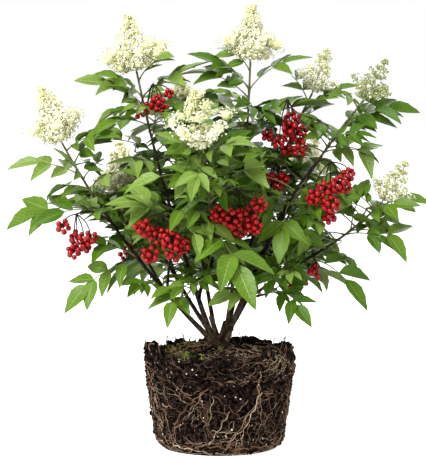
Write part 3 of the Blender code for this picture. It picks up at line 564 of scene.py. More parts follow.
def vein_group() -> bpy.types.NodeTree:
    """A pale midrib and side veins that run forward from it, read from a leaf's own chart.

    The chart's first number runs along the leaf and its second across it. A side vein is where
    along * count - |across| * slant passes a whole number.
    """
    wiring, given, out = new_group(
        "leaf_veins",
        {"Base": (0.1, 0.2, 0.05), "Vein": (0.3, 0.4, 0.1), "Count": 9.0, "Slant": 2.2},
        ("Color", "Height"),
    )
    math_node = wiring.math
    parts = wiring.node("SeparateXYZ", {0: wiring.node("UVMap", uv_map="UVMap")["UV"]})
    across = math_node("ABSOLUTE", math_node("SUBTRACT", parts["Y"], 0.5))
    rib = math_node("MAXIMUM", math_node("SUBTRACT", 1.0, math_node("MULTIPLY", across, 28.0)), 0.0)
    slanted = math_node("MULTIPLY", math_node("MULTIPLY", across, 2.0), given["Slant"])
    run = math_node("SUBTRACT", math_node("MULTIPLY", parts["X"], given["Count"]), slanted)
    wave = math_node("PINGPONG", run, 0.5)
    side = math_node("MAXIMUM", math_node("SUBTRACT", 1.0, math_node("MULTIPLY", wave, 9.0)), 0.0)
    mask = math_node("MINIMUM", math_node("ADD", rib, math_node("MULTIPLY", side, 0.42)), 1.0)
    colour = wiring.mix(mask, given["Base"], given["Vein"])
    wiring.feed(out, {"Color": colour, "Height": math_node("SUBTRACT", wave, mask)})
    return wiring.tree


def bark_group() -> bpy.types.NodeTree:
    """Mixes a low, a middle and a tip colour along a cane by its tone, from 0 at the foot to 1."""
    plain = (0.1, 0.1, 0.1)
    colours = {"Low": plain, "Middle": plain, "Tip": plain}
    wiring, given, out = new_group("along_cane", {**colours, "Low End": 0.26, "Tip Start": 0.66}, ("Color",))
    tone = wiring.tone()
    lower = wiring.mix(wiring.spread(tone, 0.02, given["Low End"]), given["Low"], given["Middle"])
    whole = wiring.mix(wiring.spread(tone, given["Tip Start"], 0.98), lower, given["Tip"])
    wiring.feed(out, {"Color": whole})
    return wiring.tree


def new_material(name: str, roughness: float, specular: float) -> tuple:
    """A material, its wiring and its Principled shader."""
    material = bpy.data.materials.new(name)
    material.use_nodes = True
    wiring, shader = Wiring(material.node_tree), material.node_tree.nodes["Principled BSDF"]
    wiring.feed(shader, {"Roughness": roughness, "Specular IOR Level": specular})
    return material, wiring, shader


class Palette:
    """The node groups that the finishes share, each made once."""

    def __init__(self) -> None:
        """Make the shared groups."""
        self.mottle, self.veins, self.along = mottle_group(), vein_group(), bark_group()

    def mottled(self, wiring: Wiring, dark: tuple, light: tuple, scale: float, fine: float,
                ramp: tuple = (0.36, 0.64)) -> bpy.types.bpy_prop_collection:
        """Place the mottle group.

        Args:
            wiring: the material's.
            dark: colour of its dark places.
            light: colour of its light places.
            scale: broad patches for each metre.
            fine: fine grains for each metre.
            ramp: values of the noise at which it is all dark and all light.

        Returns:
            The group's outputs.
        """
        values = {"Scale": scale, "Fine": fine, "Dark": dark, "Light": light}
        values.update({"All Dark": ramp[0], "All Light": ramp[1]})
        return wiring.node("Group", values, node_tree=self.mottle)


@dataclass(frozen=True)
class MottledFinish:
    """A surface whose colour drifts between two values, with a fine bump."""

    name: str
    dark: tuple
    light: tuple
    roughness: float
    scale: float = 60.0
    fine: float = 400.0
    bump: float = 0.5
    depth: float = 0.0006
    specular: float = 0.3
    ramp: tuple = (0.36, 0.64)

    def build(self, palette: Palette) -> bpy.types.Material:
        """The finish as a material."""
        material, wiring, shader = new_material(self.name, self.roughness, self.specular)
        mottle = palette.mottled(wiring, self.dark, self.light, self.scale, self.fine, self.ramp)
        normal = wiring.bump(mottle["Height"], self.bump, self.depth)
        wiring.feed(shader, {"Base Color": mottle["Color"], "Normal": normal})
        return material


@dataclass(frozen=True)
class BarkFinish:
    """Young bark: brown at the foot, near black higher up and green-brown at the tip, each mottled."""

    name: str
    low: tuple
    middle: tuple
    tip: tuple
    roughness: float = 0.50
    specular: float = 0.10
    scale: float = 110.0
    fine: float = 620.0
    ramp: tuple = (0.42, 0.60)

    def build(self, palette: Palette) -> bpy.types.Material:
        """The finish as a material."""
        material, wiring, shader = new_material(self.name, self.roughness, self.specular)
        low, middle, tip = (palette.mottled(wiring, *colours, self.scale, self.fine, self.ramp)
                            for colours in (self.low, self.middle, self.tip))
        along = {"Low": low["Color"], "Middle": middle["Color"], "Tip": tip["Color"]}
        colour = wiring.node("Group", along, node_tree=palette.along)["Color"]
        wiring.feed(shader, {"Base Color": colour, "Normal": wiring.bump(tip["Height"], 0.8, 0.0008)})
        return material


@dataclass(frozen=True)
class LeafFinish:
    """A green blade with a paler midrib and side veins, satin on top."""

    name: str
    dark: tuple
    light: tuple
    vein: tuple
    roughness: float = 0.36
    specular: float = 0.18

    def build(self, palette: Palette) -> bpy.types.Material:
        """The finish as a material."""
        material, wiring, shader = new_material(self.name, self.roughness, self.specular)
        blade = palette.mottled(wiring, self.dark, self.light, 24.0, 260.0)["Color"]
        veins = wiring.node("Group", {"Vein": self.vein, "Base": blade}, node_tree=palette.veins)
        wiring.feed(shader, {"Base Color": veins["Color"], "Normal": wiring.bump(veins["Height"], 0.55, 0.0008)})
        return material


@dataclass(frozen=True)
class TonedFinish:
    """A surface that runs from one colour to another by the tone of its points."""

    name: str
    low: tuple
    high: tuple
    roughness: float
    coat: float = 0.0
    edge: tuple = (0.0, 1.0)
    specular: float = 0.3

    def build(self, _palette: Palette) -> bpy.types.Material:
        """The finish as a material."""
        material, wiring, shader = new_material(self.name, self.roughness, self.specular)
        colour = wiring.mix(wiring.spread(wiring.tone(), *self.edge), self.low, self.high)
        wiring.feed(shader, {"Base Color": colour, "Coat Weight": self.coat, "Coat Roughness": 0.11})
        return material


GREENS = {
    Green.DEEP: LeafFinish("leaf_deep", (0.032, 0.088, 0.001), (0.058, 0.132, 0.003), (0.140, 0.215, 0.040)),
    Green.MID: LeafFinish("leaf_mid", (0.058, 0.126, 0.002), (0.098, 0.182, 0.013), (0.205, 0.285, 0.080)),
    Green.BRIGHT: LeafFinish("leaf_bright", (0.096, 0.170, 0.013), (0.152, 0.240, 0.038), (0.290, 0.365, 0.140)),
    Green.PALE: LeafFinish("leaf_pale", (0.148, 0.226, 0.046), (0.218, 0.304, 0.086), (0.365, 0.440, 0.210)),
}
LEAF_STALK = MottledFinish("leaf_stalk", (0.052, 0.088, 0.015), (0.130, 0.160, 0.040), 0.5, 80.0, 500.0, 0.2)
BARK = BarkFinish(
    "bark",
    ((0.007, 0.004, 0.002), (0.150, 0.096, 0.058)),
    ((0.002, 0.0015, 0.001), (0.022, 0.014, 0.009)),
    ((0.052, 0.044, 0.020), (0.175, 0.155, 0.072)),
)
SOIL = MottledFinish("soil", (0.0008, 0.0005, 0.0004), (0.100, 0.060, 0.045), 0.95, 140.0, 850.0, 1.0, 0.0040, 0.03,
                     (0.485, 0.700))
CRUMB = MottledFinish("crumb", (0.0008, 0.0006, 0.0005), (0.044, 0.030, 0.022), 0.95, 160.0, 900.0, 1.0, 0.0020, 0.03,
                      (0.455, 0.700))
PERLITE = MottledFinish("perlite", (0.520, 0.480, 0.420), (0.860, 0.830, 0.780), 0.85, 200.0, 900.0, 0.5)
MOSS = MottledFinish("moss", (0.050, 0.048, 0.010), (0.290, 0.260, 0.065), 0.92, 200.0, 900.0, 0.6, specular=0.1)
SPROUT = MottledFinish("sprout", (0.130, 0.180, 0.025), (0.360, 0.420, 0.090), 0.55, 120.0, 700.0, 0.3)
ROOTS = {
    RootTint.RUSSET: MottledFinish("root_russet", (0.070, 0.032, 0.018), (0.220, 0.110, 0.060), 0.75, 120.0, 600.0),
    RootTint.TAN: MottledFinish("root_tan", (0.150, 0.085, 0.050), (0.370, 0.235, 0.150), 0.72, 120.0, 600.0),
    RootTint.DARK: MottledFinish("root_dark", (0.016, 0.008, 0.005), (0.070, 0.038, 0.022), 0.80, 120.0, 600.0),
    RootTint.PALE: MottledFinish("root_pale", (0.300, 0.215, 0.135), (0.600, 0.480, 0.330), 0.70, 120.0, 600.0),
}
PETAL = TonedFinish("petal", (0.880, 0.850, 0.400), (0.985, 0.965, 0.750), 0.75, edge=(0.0, 0.45), specular=0.10)
BUD = TonedFinish("bud", (0.190, 0.240, 0.060), (0.930, 0.900, 0.540), 0.70, specular=0.08)
BLOOM_STALK = TonedFinish("bloom_stalk", (0.200, 0.230, 0.080), (0.860, 0.860, 0.560), 0.70, specular=0.10)
BERRY = TonedFinish("berry", (0.268, 0.001, 0.003), (0.014, 0.003, 0.002), 0.50, coat=0.62, edge=(0.75, 0.95),
                    specular=0.0)
FRUIT_STALK = MottledFinish("fruit_stalk", (0.003, 0.002, 0.002), (0.018, 0.009, 0.009), 0.5, 120.0, 500.0, specular=0.1)


# Growth


class CanePath:
    """The curve of one cane: a quadratic from its foot to its tip, bowed by its sway."""

    FOOT_RING = 0.012
    FOOT_HEIGHT = 0.209
    TIP_RADIUS = 0.0021
    BLOOM_RISE = 0.40

    def __init__(self, cane: Cane, paths: dict[str, "CanePath"]) -> None:
        """Set the foot at the crown or on the cane that this one forks from."""
        self.cane = cane
        self.tip = np.array(cane.tip, float)
        if cane.fork:
            self.foot = paths[cane.fork[0]].point(cane.fork[1])
        else:
            lean = unit(np.array([cane.tip[0], cane.tip[1], 0.0]))
            self.foot = lean * self.FOOT_RING + [0.0, 0.0, self.FOOT_HEIGHT]
        self.bend = (self.foot + self.tip) / 2.0 + np.array(cane.sway) * 2.0

    def point(self, share: Array | float) -> Array:
        """Places on the centre line."""
        share = np.asarray(share, float)[..., None]
        rest = 1.0 - share
        return self.foot * rest**2 + self.bend * 2.0 * rest * share + self.tip * share**2

    def tangent(self, share: float) -> Array:
        """Direction of growth."""
        return unit((self.bend - self.foot) * (1.0 - share) + (self.tip - self.bend) * share)

    def bloom_axis(self) -> Array:
        """Direction of the blossom, which turns upward from the cane's own."""
        return unit(self.tangent(1.0) + [0.0, 0.0, self.BLOOM_RISE])

    def radius(self, share: Array) -> Array:
        """The cane's taper from foot to tip: the rest of the way up, to the power 1.5."""
        left = np.clip(1.0 - share, 0.0, 1.0)
        return self.TIP_RADIUS + (self.cane.thick - self.TIP_RADIUS) * left**1.5


class Clearings:
    """Room that leaves keep out of: round blossom and fruit, before the shown ones, and in gaps.

    A place's sight is where it shows from the front, measured at the shrub's middle. With k as the
    place's distance from the eye over the middle's, that is (x, z) drawn towards the eye by 1 / k.
    """

    EYE = (-0.013, -3.5, 0.70)
    ROOM = 0.92
    SIGHT = 0.84
    VEILED = 0.45
    HUB_BALL = 0.016
    BARE_BALL = 0.012
    BARE_STEP = 0.035
    BLOOM_BALLS = ((0.10, 0.15), (0.32, 0.37), (0.52, 0.24), (0.70, 0.17), (0.87, 0.12))
    GAPS = (
        (0.225, 0.661, 0.021), (0.235, 0.443, 0.020), (0.079, 0.715, 0.019), (-0.247, 0.439, 0.018),
        (0.285, 0.543, 0.017), (-0.193, 0.607, 0.017), (0.287, 0.483, 0.015), (0.129, 0.743, 0.013),
        (-0.215, 0.381, 0.013), (-0.263, 0.535, 0.013), (0.075, 0.299, 0.013), (-0.060, 0.308, 0.009),
        (-0.287, 0.461, 0.012), (0.275, 0.597, 0.012), (-0.359, 0.600, 0.014), (0.272, 0.402, 0.022),
        (0.402, 0.412, 0.018), (0.229, 0.317, 0.013),
    )

    def __init__(self, paths: dict[str, "CanePath"]) -> None:
        """Lay balls along every head of blossom and bare cane, and in every lobe and hub of a cluster."""
        laid = []
        for path in paths.values():
            bloom = path.cane.bloom
            if bloom:
                share, size = np.array(self.BLOOM_BALLS).T
                middles = path.tip + path.bloom_axis() * share[:, None] * bloom.height
                laid.append((middles, size * bloom.width, bloom.shown * (self.VEILED if bloom.veiled else 1.0)))
            for number, fruit in enumerate(path.cane.fruit):
                laid.append((*cluster_lobes(path, number), float(fruit.shown)))
                laid.append((cluster_hub(path, fruit)[None], self.HUB_BALL, float(fruit.shown)))
            share = np.arange(*(path.cane.bare or (0.0, 0.0)), self.BARE_STEP)
            laid.append((path.point(share), self.BARE_BALL, 1.0))
        self.centres = np.concatenate([centres for centres, _, _ in laid])
        self.radii, weights = (np.concatenate([np.broadcast_to(part[column], len(part[0])) for part in laid])
                               for column in (1, 2))
        self.shown = weights > 0.0
        self.sights = (self.radii * weights * self.SIGHT)[self.shown]

    def sight(self, spots: Array) -> Array:
        """Where places show from the front, as (across, up)."""
        near = 1.0 - spots[..., 1:2] / self.EYE[1]
        eye = np.array([self.EYE[0], self.EYE[2]])
        return eye + (spots[..., [0, 2]] - eye) / near

    def closed(self, spots: Array) -> bool:
        """Whether any of the places is where no leaf may be."""
        if np.any(np.linalg.norm(spots[:, None] - self.centres, axis=-1) < self.radii * self.ROOM):
            return True
        seen = self.sight(spots)
        heads = self.sight(self.centres[self.shown])
        before = spots[:, None, 1] < self.centres[self.shown][:, 1]
        hides = np.linalg.norm(seen[:, None] - heads, axis=-1) < self.sights
        if np.any(hides & before):
            return True
        gaps = np.array(self.GAPS)
        return bool(np.any(np.linalg.norm(seen[:, None] - gaps[:, :2], axis=-1) < gaps[:, 2] * 0.9))


def cluster_middle(path: CanePath, fruit: Fruit) -> Array:
    """The middle of a cluster."""
    return path.point(fruit.at) + heading(fruit.bearing, 0.0) * fruit.reach - [0.0, 0.0, fruit.drop]


def cluster_hub(path: CanePath, fruit: Fruit) -> Array:
    """The place over a cluster from which its rays spread."""
    return cluster_middle(path, fruit) + [0.0, 0.0, fruit.height * Berries.HUB_RISE]


def cluster_lobes(path: CanePath, number: int) -> tuple[Array, Array]:
    """Middles and radii of the lobes of one of a cane's clusters.

    Args:
        path: the cane.
        number: which of its clusters.

    Returns:
        (places, radii).
    """
    fruit = path.cane.fruit[number]
    lobes = np.array(fruit.lobes)
    if not len(lobes):
        rng = dice(f"{path.cane.name} lobes {number}")
        count = 3 if fruit.berries < 30 else 6
        level = 0.62 - 1.24 * (np.arange(count) + 0.5) / count
        turn = np.arange(count) * 2.39996 + rng.uniform(0.0, 6.28)
        flat = np.sqrt(1.0 - level**2) * rng.uniform(0.35, 0.62, count)
        lobes = np.stack([flat * np.cos(turn), flat * np.sin(turn), level, rng.uniform(0.38, 0.5, count)], -1)
    half = np.array([fruit.width, fruit.width, fruit.height]) / 2.0
    return cluster_middle(path, fruit) + lobes[:, :3] * half, lobes[:, 3] * (fruit.width + fruit.height) / 4.0


@dataclass(frozen=True)
class LeafletForm:
    """The blade of a leaflet.

    Half width at a share t of the length is t^rise * (1 - t)^fall, brought to a peak of one. Each
    half lifts from the midrib by its fold, the blade droops with t squared, and the edge steps out
    and forward at every second station, which makes its teeth.
    """

    stations: int = 8
    rise: float = 0.66
    fall: float = 1.14
    fold: float = 0.52
    tooth: float = 0.055
    forward: float = 0.020
    ripple: float = 0.09
    base_width: float = 0.06
    tip_width: float = 0.012
    thickness: float = 0.0009

    def faces(self) -> list[Array]:
        """Face blocks of one leaflet."""
        rows = self.stations
        row, column = np.meshgrid(np.arange(rows), np.arange(4), indexing="ij")
        here = (row * 5 + column).ravel()
        top = np.stack([here, here + 1, here + 6, here + 5], -1)
        row = np.arange(rows)
        left, right, under = row * 5, row * 5 + 4, (rows + 1) * 5 + row
        foot_left = np.stack([left, left + 5, under + 1, under], -1)
        foot_right = np.stack([under, under + 1, right + 5, right], -1)
        first, last = (rows + 1) * 5, rows * 5
        ends = np.array([
            [0, first, 4, 3, 2, 1],
            [last, last + 1, last + 2, last + 3, last + 4, first + rows],
        ])
        return [np.concatenate([top, foot_left, foot_right]), ends]

    def grow(self, leaflets: list[tuple], rng: np.random.Generator, into: Meshwork) -> None:
        """Add every leaflet.

        Args:
            leaflets: the root, direction, face, length, half width and green of each.
            rng: gives each its own droop, fold and bend.
            into: where they go.
        """
        root, along, face, length, half, green = (np.array(part) for part in zip(*leaflets))
        count = len(root)
        side = unit(np.cross(along, face))
        share = np.linspace(0.0, 1.0, self.stations + 1)
        peak = self.rise / (self.rise + self.fall)
        width = share**self.rise * (1.0 - share) ** self.fall / (peak**self.rise * (1.0 - peak) ** self.fall)
        width = np.maximum(width, np.linspace(self.base_width, self.tip_width, len(share)))
        across = np.array([-1.0, -0.5, 0.0, 0.5, 1.0])
        edge = np.abs(across) > 0.9
        odd = np.arange(len(share)) % 2
        step = np.where(edge[None], (odd[:, None] * 2.0 - 1.0) * self.tooth / 2.0, 0.0)
        droop = rng.uniform(0.06, 0.32, count)[:, None, None]
        bend = rng.normal(0.0, 0.05, count)[:, None, None]
        fold = (self.fold * rng.uniform(0.35, 1.4, count))[:, None, None]
        twist = rng.normal(0.0, 0.30, count)[:, None, None]
        long, wide = length[:, None, None], half[:, None, None]
        x = long * (share[:, None] + self.forward * odd[:, None] * edge[None])[None]
        spread = (across[None] * width[:, None] * (1.0 + step))[None] * wide
        y = spread + bend * long * share[None, :, None] ** 2
        lifted = np.abs(spread) * fold
        quilt = self.ripple * wide * (width[:, None] * (odd[:, None] - 0.5) * (np.abs(across) == 0.5)[None])[None]
        z = lifted + quilt - droop * long * share[None, :, None] ** 2 + spread * twist * share[None, :, None]
        under = z[:, :, 2] - self.thickness
        x = np.concatenate([x.reshape(count, -1), x[:, :, 2]], 1)[..., None]
        y = np.concatenate([y.reshape(count, -1), y[:, :, 2]], 1)[..., None]
        z = np.concatenate([z.reshape(count, -1), under], 1)[..., None]
        points = root[:, None] + along[:, None] * x + side[:, None] * y + face[:, None] * z
        chart = np.stack(np.meshgrid(share, (across + 1.0) / 2.0, indexing="ij"), -1).reshape(-1, 2)
        rib = np.stack([share, np.full(len(share), 0.5)], -1)
        chart = np.concatenate([chart, rib])
        into.add(points, self.faces(), green, chart=chart)


class Foliage:
    """Compound leaves by the rule of the solids, with smaller ones filled in between them."""

    STALK_LENGTH = 0.055
    PAIR_SPACING = 0.037
    LEAFLET_LENGTH = 0.073
    LEAFLET_HALF = 0.0166
    STALK_LIFT = 12.0
    STALK_DROOP = 21.0
    TIP_GAP = 0.019
    NEAR_SPREAD = 62.0
    FAR_SPREAD = 48.0
    LEAFLET_HANG = 0.07
    TERMINAL_HANG = 0.10
    OUTWARD_ROLL = 36.0
    ROLL_MIDDLE = 0.10
    ROLL_DEPTH = 0.12
    STALK_RADIUS = 0.0014
    STALK_TIP_RADIUS = 0.0008
    FILL_SIZE = (0.66, 1.00)
    FILL_SPAN = (0.96, 0.90)
    SIDEWAYS = 0.62
    TUFT = ((0.835, 65.0), (0.905, 20.0), (0.965, 110.0))
    TUFT_SIZE = (0.60, 0.80)
    TUFT_PITCH = (28.0, 56.0)
    # A leaf that hangs more than 15 degrees below level is dealt the greens of a place this share further down its
    # cane, which run deeper.
    HANGING_SHIFT = 0.55

    def __init__(self, clearings: "Clearings") -> None:
        """Start with no leaves and the room that they keep out of."""
        self.leaflets: list[tuple] = []
        self.stalks: list[Array] = []
        self.hints: list[Array] = []
        self.clearings = clearings

    def side_of(self, start: Array, bearing: float, draw: random.Random) -> Array:
        """Sideways direction of a leaf, rolled so that its face looks out of the crown."""
        front = max(-1.0, min(1.0, (self.ROLL_MIDDLE - start[1]) / self.ROLL_DEPTH))
        roll = -self.OUTWARD_ROLL * front * math.cos(math.radians(bearing)) + draw.uniform(-14.0, 14.0)
        level = heading(bearing - 90.0, 0.0)
        upright = np.cross(level, heading(bearing, 0.0))
        return level * math.cos(math.radians(roll)) + upright * math.sin(math.radians(roll))

    def leaflet(self, place: Array, along: Array, way: Array, side: Array, size: float,
                most: float, draw: random.Random, green: Green) -> None:
        """Add one leaflet that leaves the stalk at a place, hangs a little and looks up and outward."""
        hang = most * draw.uniform(0.5, 1.5)
        along = unit(along - [0.0, 0.0, hang])
        face = np.cross(side, way) + side * draw.uniform(-0.30, 0.30)
        face = unit(face - along * np.dot(face, along))
        length = self.LEAFLET_LENGTH * size
        half = self.LEAFLET_HALF * size * draw.uniform(0.94, 1.16)
        over = np.cross(along, face) * half
        rib = place + along * length * np.array([[0.25], [0.55], [0.80], [0.96]])
        if self.clearings.closed(np.concatenate([rib, rib[:2] + over, rib[:2] - over])):
            return
        self.leaflets.append((place, along, face, length, half, green.value))

    def compound(self, start: Array, bearing: float, leaf: Leaf, draw: random.Random, green: Green) -> None:
        """Add one compound leaf: its stalk, its opposite pairs and its end leaflet."""
        total = self.STALK_LENGTH + self.PAIR_SPACING * (leaf.pairs - 1)
        lifts = leaf.pitch + self.STALK_LIFT - (self.STALK_LIFT + self.STALK_DROOP) * np.array([0.25, 0.75])
        half_way = start + heading(bearing, lifts[0]) * total * leaf.size / 2.0
        end = half_way + heading(bearing, lifts[1]) * total * leaf.size / 2.0
        line = np.array([start, half_way, end])
        bend = half_way * 2.0 - (start + end) / 2.0
        side = self.side_of(start, bearing, draw)
        before = len(self.leaflets)
        for pair in range(leaf.pairs):
            far = pair / max(leaf.pairs - 1, 1)
            share = (self.STALK_LENGTH + self.PAIR_SPACING * pair - self.TIP_GAP) / total
            rest = 1.0 - share
            place = start * rest**2 + bend * 2.0 * rest * share + end * share**2
            way = unit((bend - start) * rest + (end - bend) * share)
            spread = self.NEAR_SPREAD + (self.FAR_SPREAD - self.NEAR_SPREAD) * far
            for hand in (-1.0, 1.0):
                angle = math.radians(spread + draw.uniform(-6.0, 6.0))
                size = (0.80 + 0.14 * far) * leaf.size * draw.uniform(0.93, 1.07)
                along = way * math.cos(angle) + side * hand * math.sin(angle)
                self.leaflet(place, along, way, side, size, self.LEAFLET_HANG, draw, green)
        way = unit(end - bend)
        size = leaf.size * draw.uniform(0.97, 1.06)
        self.leaflet(end, way, way, side, size, self.TERMINAL_HANG, draw, green)
        if len(self.leaflets) > before + 2:
            self.stalks.append(line)
            self.hints.append(side)
        else:
            del self.leaflets[before:]

    def grow(self, path: CanePath) -> None:
        """Add a cane's planned leaves, its fill, and two pairs under its blossom."""
        cane = path.cane
        for leaf in cane.leaves:
            draw = random.Random(f"{SEED} {cane.name} {leaf.at} {leaf.bearing}")
            twist = draw.uniform(-6.0, 6.0)
            shift = self.HANGING_SHIFT if leaf.pitch < -15.0 else 0.0
            green = leaf.green or self.green_of(path, leaf.at - shift, draw_green(cane.name, leaf.at, leaf.bearing))
            self.compound(path.point(leaf.at), leaf.bearing + twist, leaf, draw, green)
        first, last = cane.leafy_from * self.FILL_SPAN[0], self.FILL_SPAN[1]
        for number in range(cane.fill):
            draw = random.Random(f"{SEED} {cane.name} fill {number}")
            at = first + (last - first) * (number // 2 + 0.5) / (cane.fill / 2.0)
            bearing = self.sideways(number * 180.0 + (number // 2) * 90.0 + draw.uniform(-30.0, 30.0) + 45.0)
            size = draw.uniform(*self.FILL_SIZE)
            leaf = Leaf(at, bearing, draw.uniform(-5.0, 45.0), size)
            green = self.green_of(path, at, draw.random())
            self.compound(path.point(at), bearing, leaf, draw, green)
        if not cane.bloom:
            return
        for at, turned in self.TUFT:
            draw = random.Random(f"{SEED} {cane.name} tuft {at}")
            turned = self.sideways(turned + draw.uniform(-30.0, 30.0))
            for bearing in (turned, turned + 180.0):
                leaf = Leaf(at, bearing, draw.uniform(*self.TUFT_PITCH), draw.uniform(*self.TUFT_SIZE))
                self.compound(path.point(at), bearing, leaf, draw, self.green_of(path, at, draw.random()))

    def sideways(self, bearing: float) -> float:
        """A bearing drawn towards the nearer of left and right."""
        nearest = round(bearing / 180.0) * 180.0
        return nearest + (bearing - nearest) * self.SIDEWAYS

    def green_of(self, path: CanePath, at: float, chance: float) -> Green:
        """The green of a leaf: brighter towards a cane's end and deeper further down it, as painted shade of the
        crown's inside, and the cane's own where it has one.
        """
        if path.cane.green and chance < 0.75:
            return path.cane.green
        # Painted shade: the lower a leaf sits on its cane, the likelier a deep green.
        level = chance * 0.74 + at * 0.31
        if level < 0.42:
            return Green.DEEP
        if level < 0.78:
            return Green.MID
        return Green.BRIGHT if level < 0.97 else Green.PALE

    def dress(self, palette: Palette) -> list[bpy.types.Object]:
        """The leaflets and their stalks, the leaflets as a front and a back piece."""
        greens = [GREENS[green].build(palette) for green in Green]
        pieces = []
        for name, behind in (("leaves_front", False), ("leaves_back", True)):
            blades = Meshwork(name)
            chosen = [leaflet for leaflet in self.leaflets if (leaflet[0][1] > self.ROLL_MIDDLE) == behind]
            LeafletForm().grow(chosen, dice(name), blades)
            pieces.append(blades.piece(greens, 60.0))
        radii = np.linspace(self.STALK_RADIUS, self.STALK_TIP_RADIUS, 7)
        radii[0] *= 1.7
        stalks = Meshwork("leaf_stalks").add(*sweep(through(self.stalks, 7), radii, 6, np.array(self.hints)))
        return [*pieces, stalks.piece([LEAF_STALK.build(palette)])]


def draw_green(name: str, at: float, bearing: float) -> float:
    """A seeded chance that deals a green to one planned leaf."""
    return random.Random(f"{SEED} {name} {at} {bearing} green").random()


class Twigs:
    """Short side shoots that carry small leaves into the inside of the crown."""

    LENGTH = (0.040, 0.075)
    RADIUS = 0.0015
    TIP_RADIUS = 0.0009
    SPAN = (1.02, 0.80)
    LEAF_SIZE = (0.46, 0.66)
    RINGS = 8

    def __init__(self) -> None:
        """Start with no shoots."""
        self.lines: list[Array] = []

    def grow(self, path: CanePath, foliage: "Foliage") -> None:
        """Add a cane's shoots with two pairs of opposite leaves each.

        Args:
            path: the cane.
            foliage: takes the leaves.
        """
        cane = path.cane
        first, last = cane.leafy_from * self.SPAN[0], self.SPAN[1]
        for number in range(cane.twigs):
            draw = random.Random(f"{SEED} {cane.name} twig {number}")
            at = first + (last - first) * (number + 0.5) / cane.twigs
            bearing = draw.uniform(0.0, 60.0) + number * 137.0
            pitch = draw.uniform(8.0, 50.0)
            length = draw.uniform(*self.LENGTH)
            start = path.point(at)
            bend = start + heading(bearing, pitch) * length * 0.5
            end = bend + heading(bearing, pitch + 18.0) * length * 0.5
            line = np.array([start, bend, end])
            for share, place in ((0.6, (bend + end) / 2.0), (1.0, end)):
                for hand in (-1.0, 1.0):
                    side = 62.0 if share == 1.0 else 84.0
                    leaf = Leaf(at, bearing + hand * side, draw.uniform(0.0, 40.0), draw.uniform(*self.LEAF_SIZE))
                    # Painted shade: leaves on the twigs, inside the crown, are dealt the deeper greens of a place
                    # further down the cane.
                    green = foliage.green_of(path, at * 0.6, draw.random())
                    foliage.compound(place, leaf.bearing, leaf, draw, green)
            self.lines.append(line)

    def piece(self, work: Meshwork) -> None:
        """Sweep every shoot into the wood."""
        radii = np.linspace(self.RADIUS, self.TIP_RADIUS, self.RINGS)
        work.add(*sweep(through(self.lines, self.RINGS), radii, 6), tone=0.93)


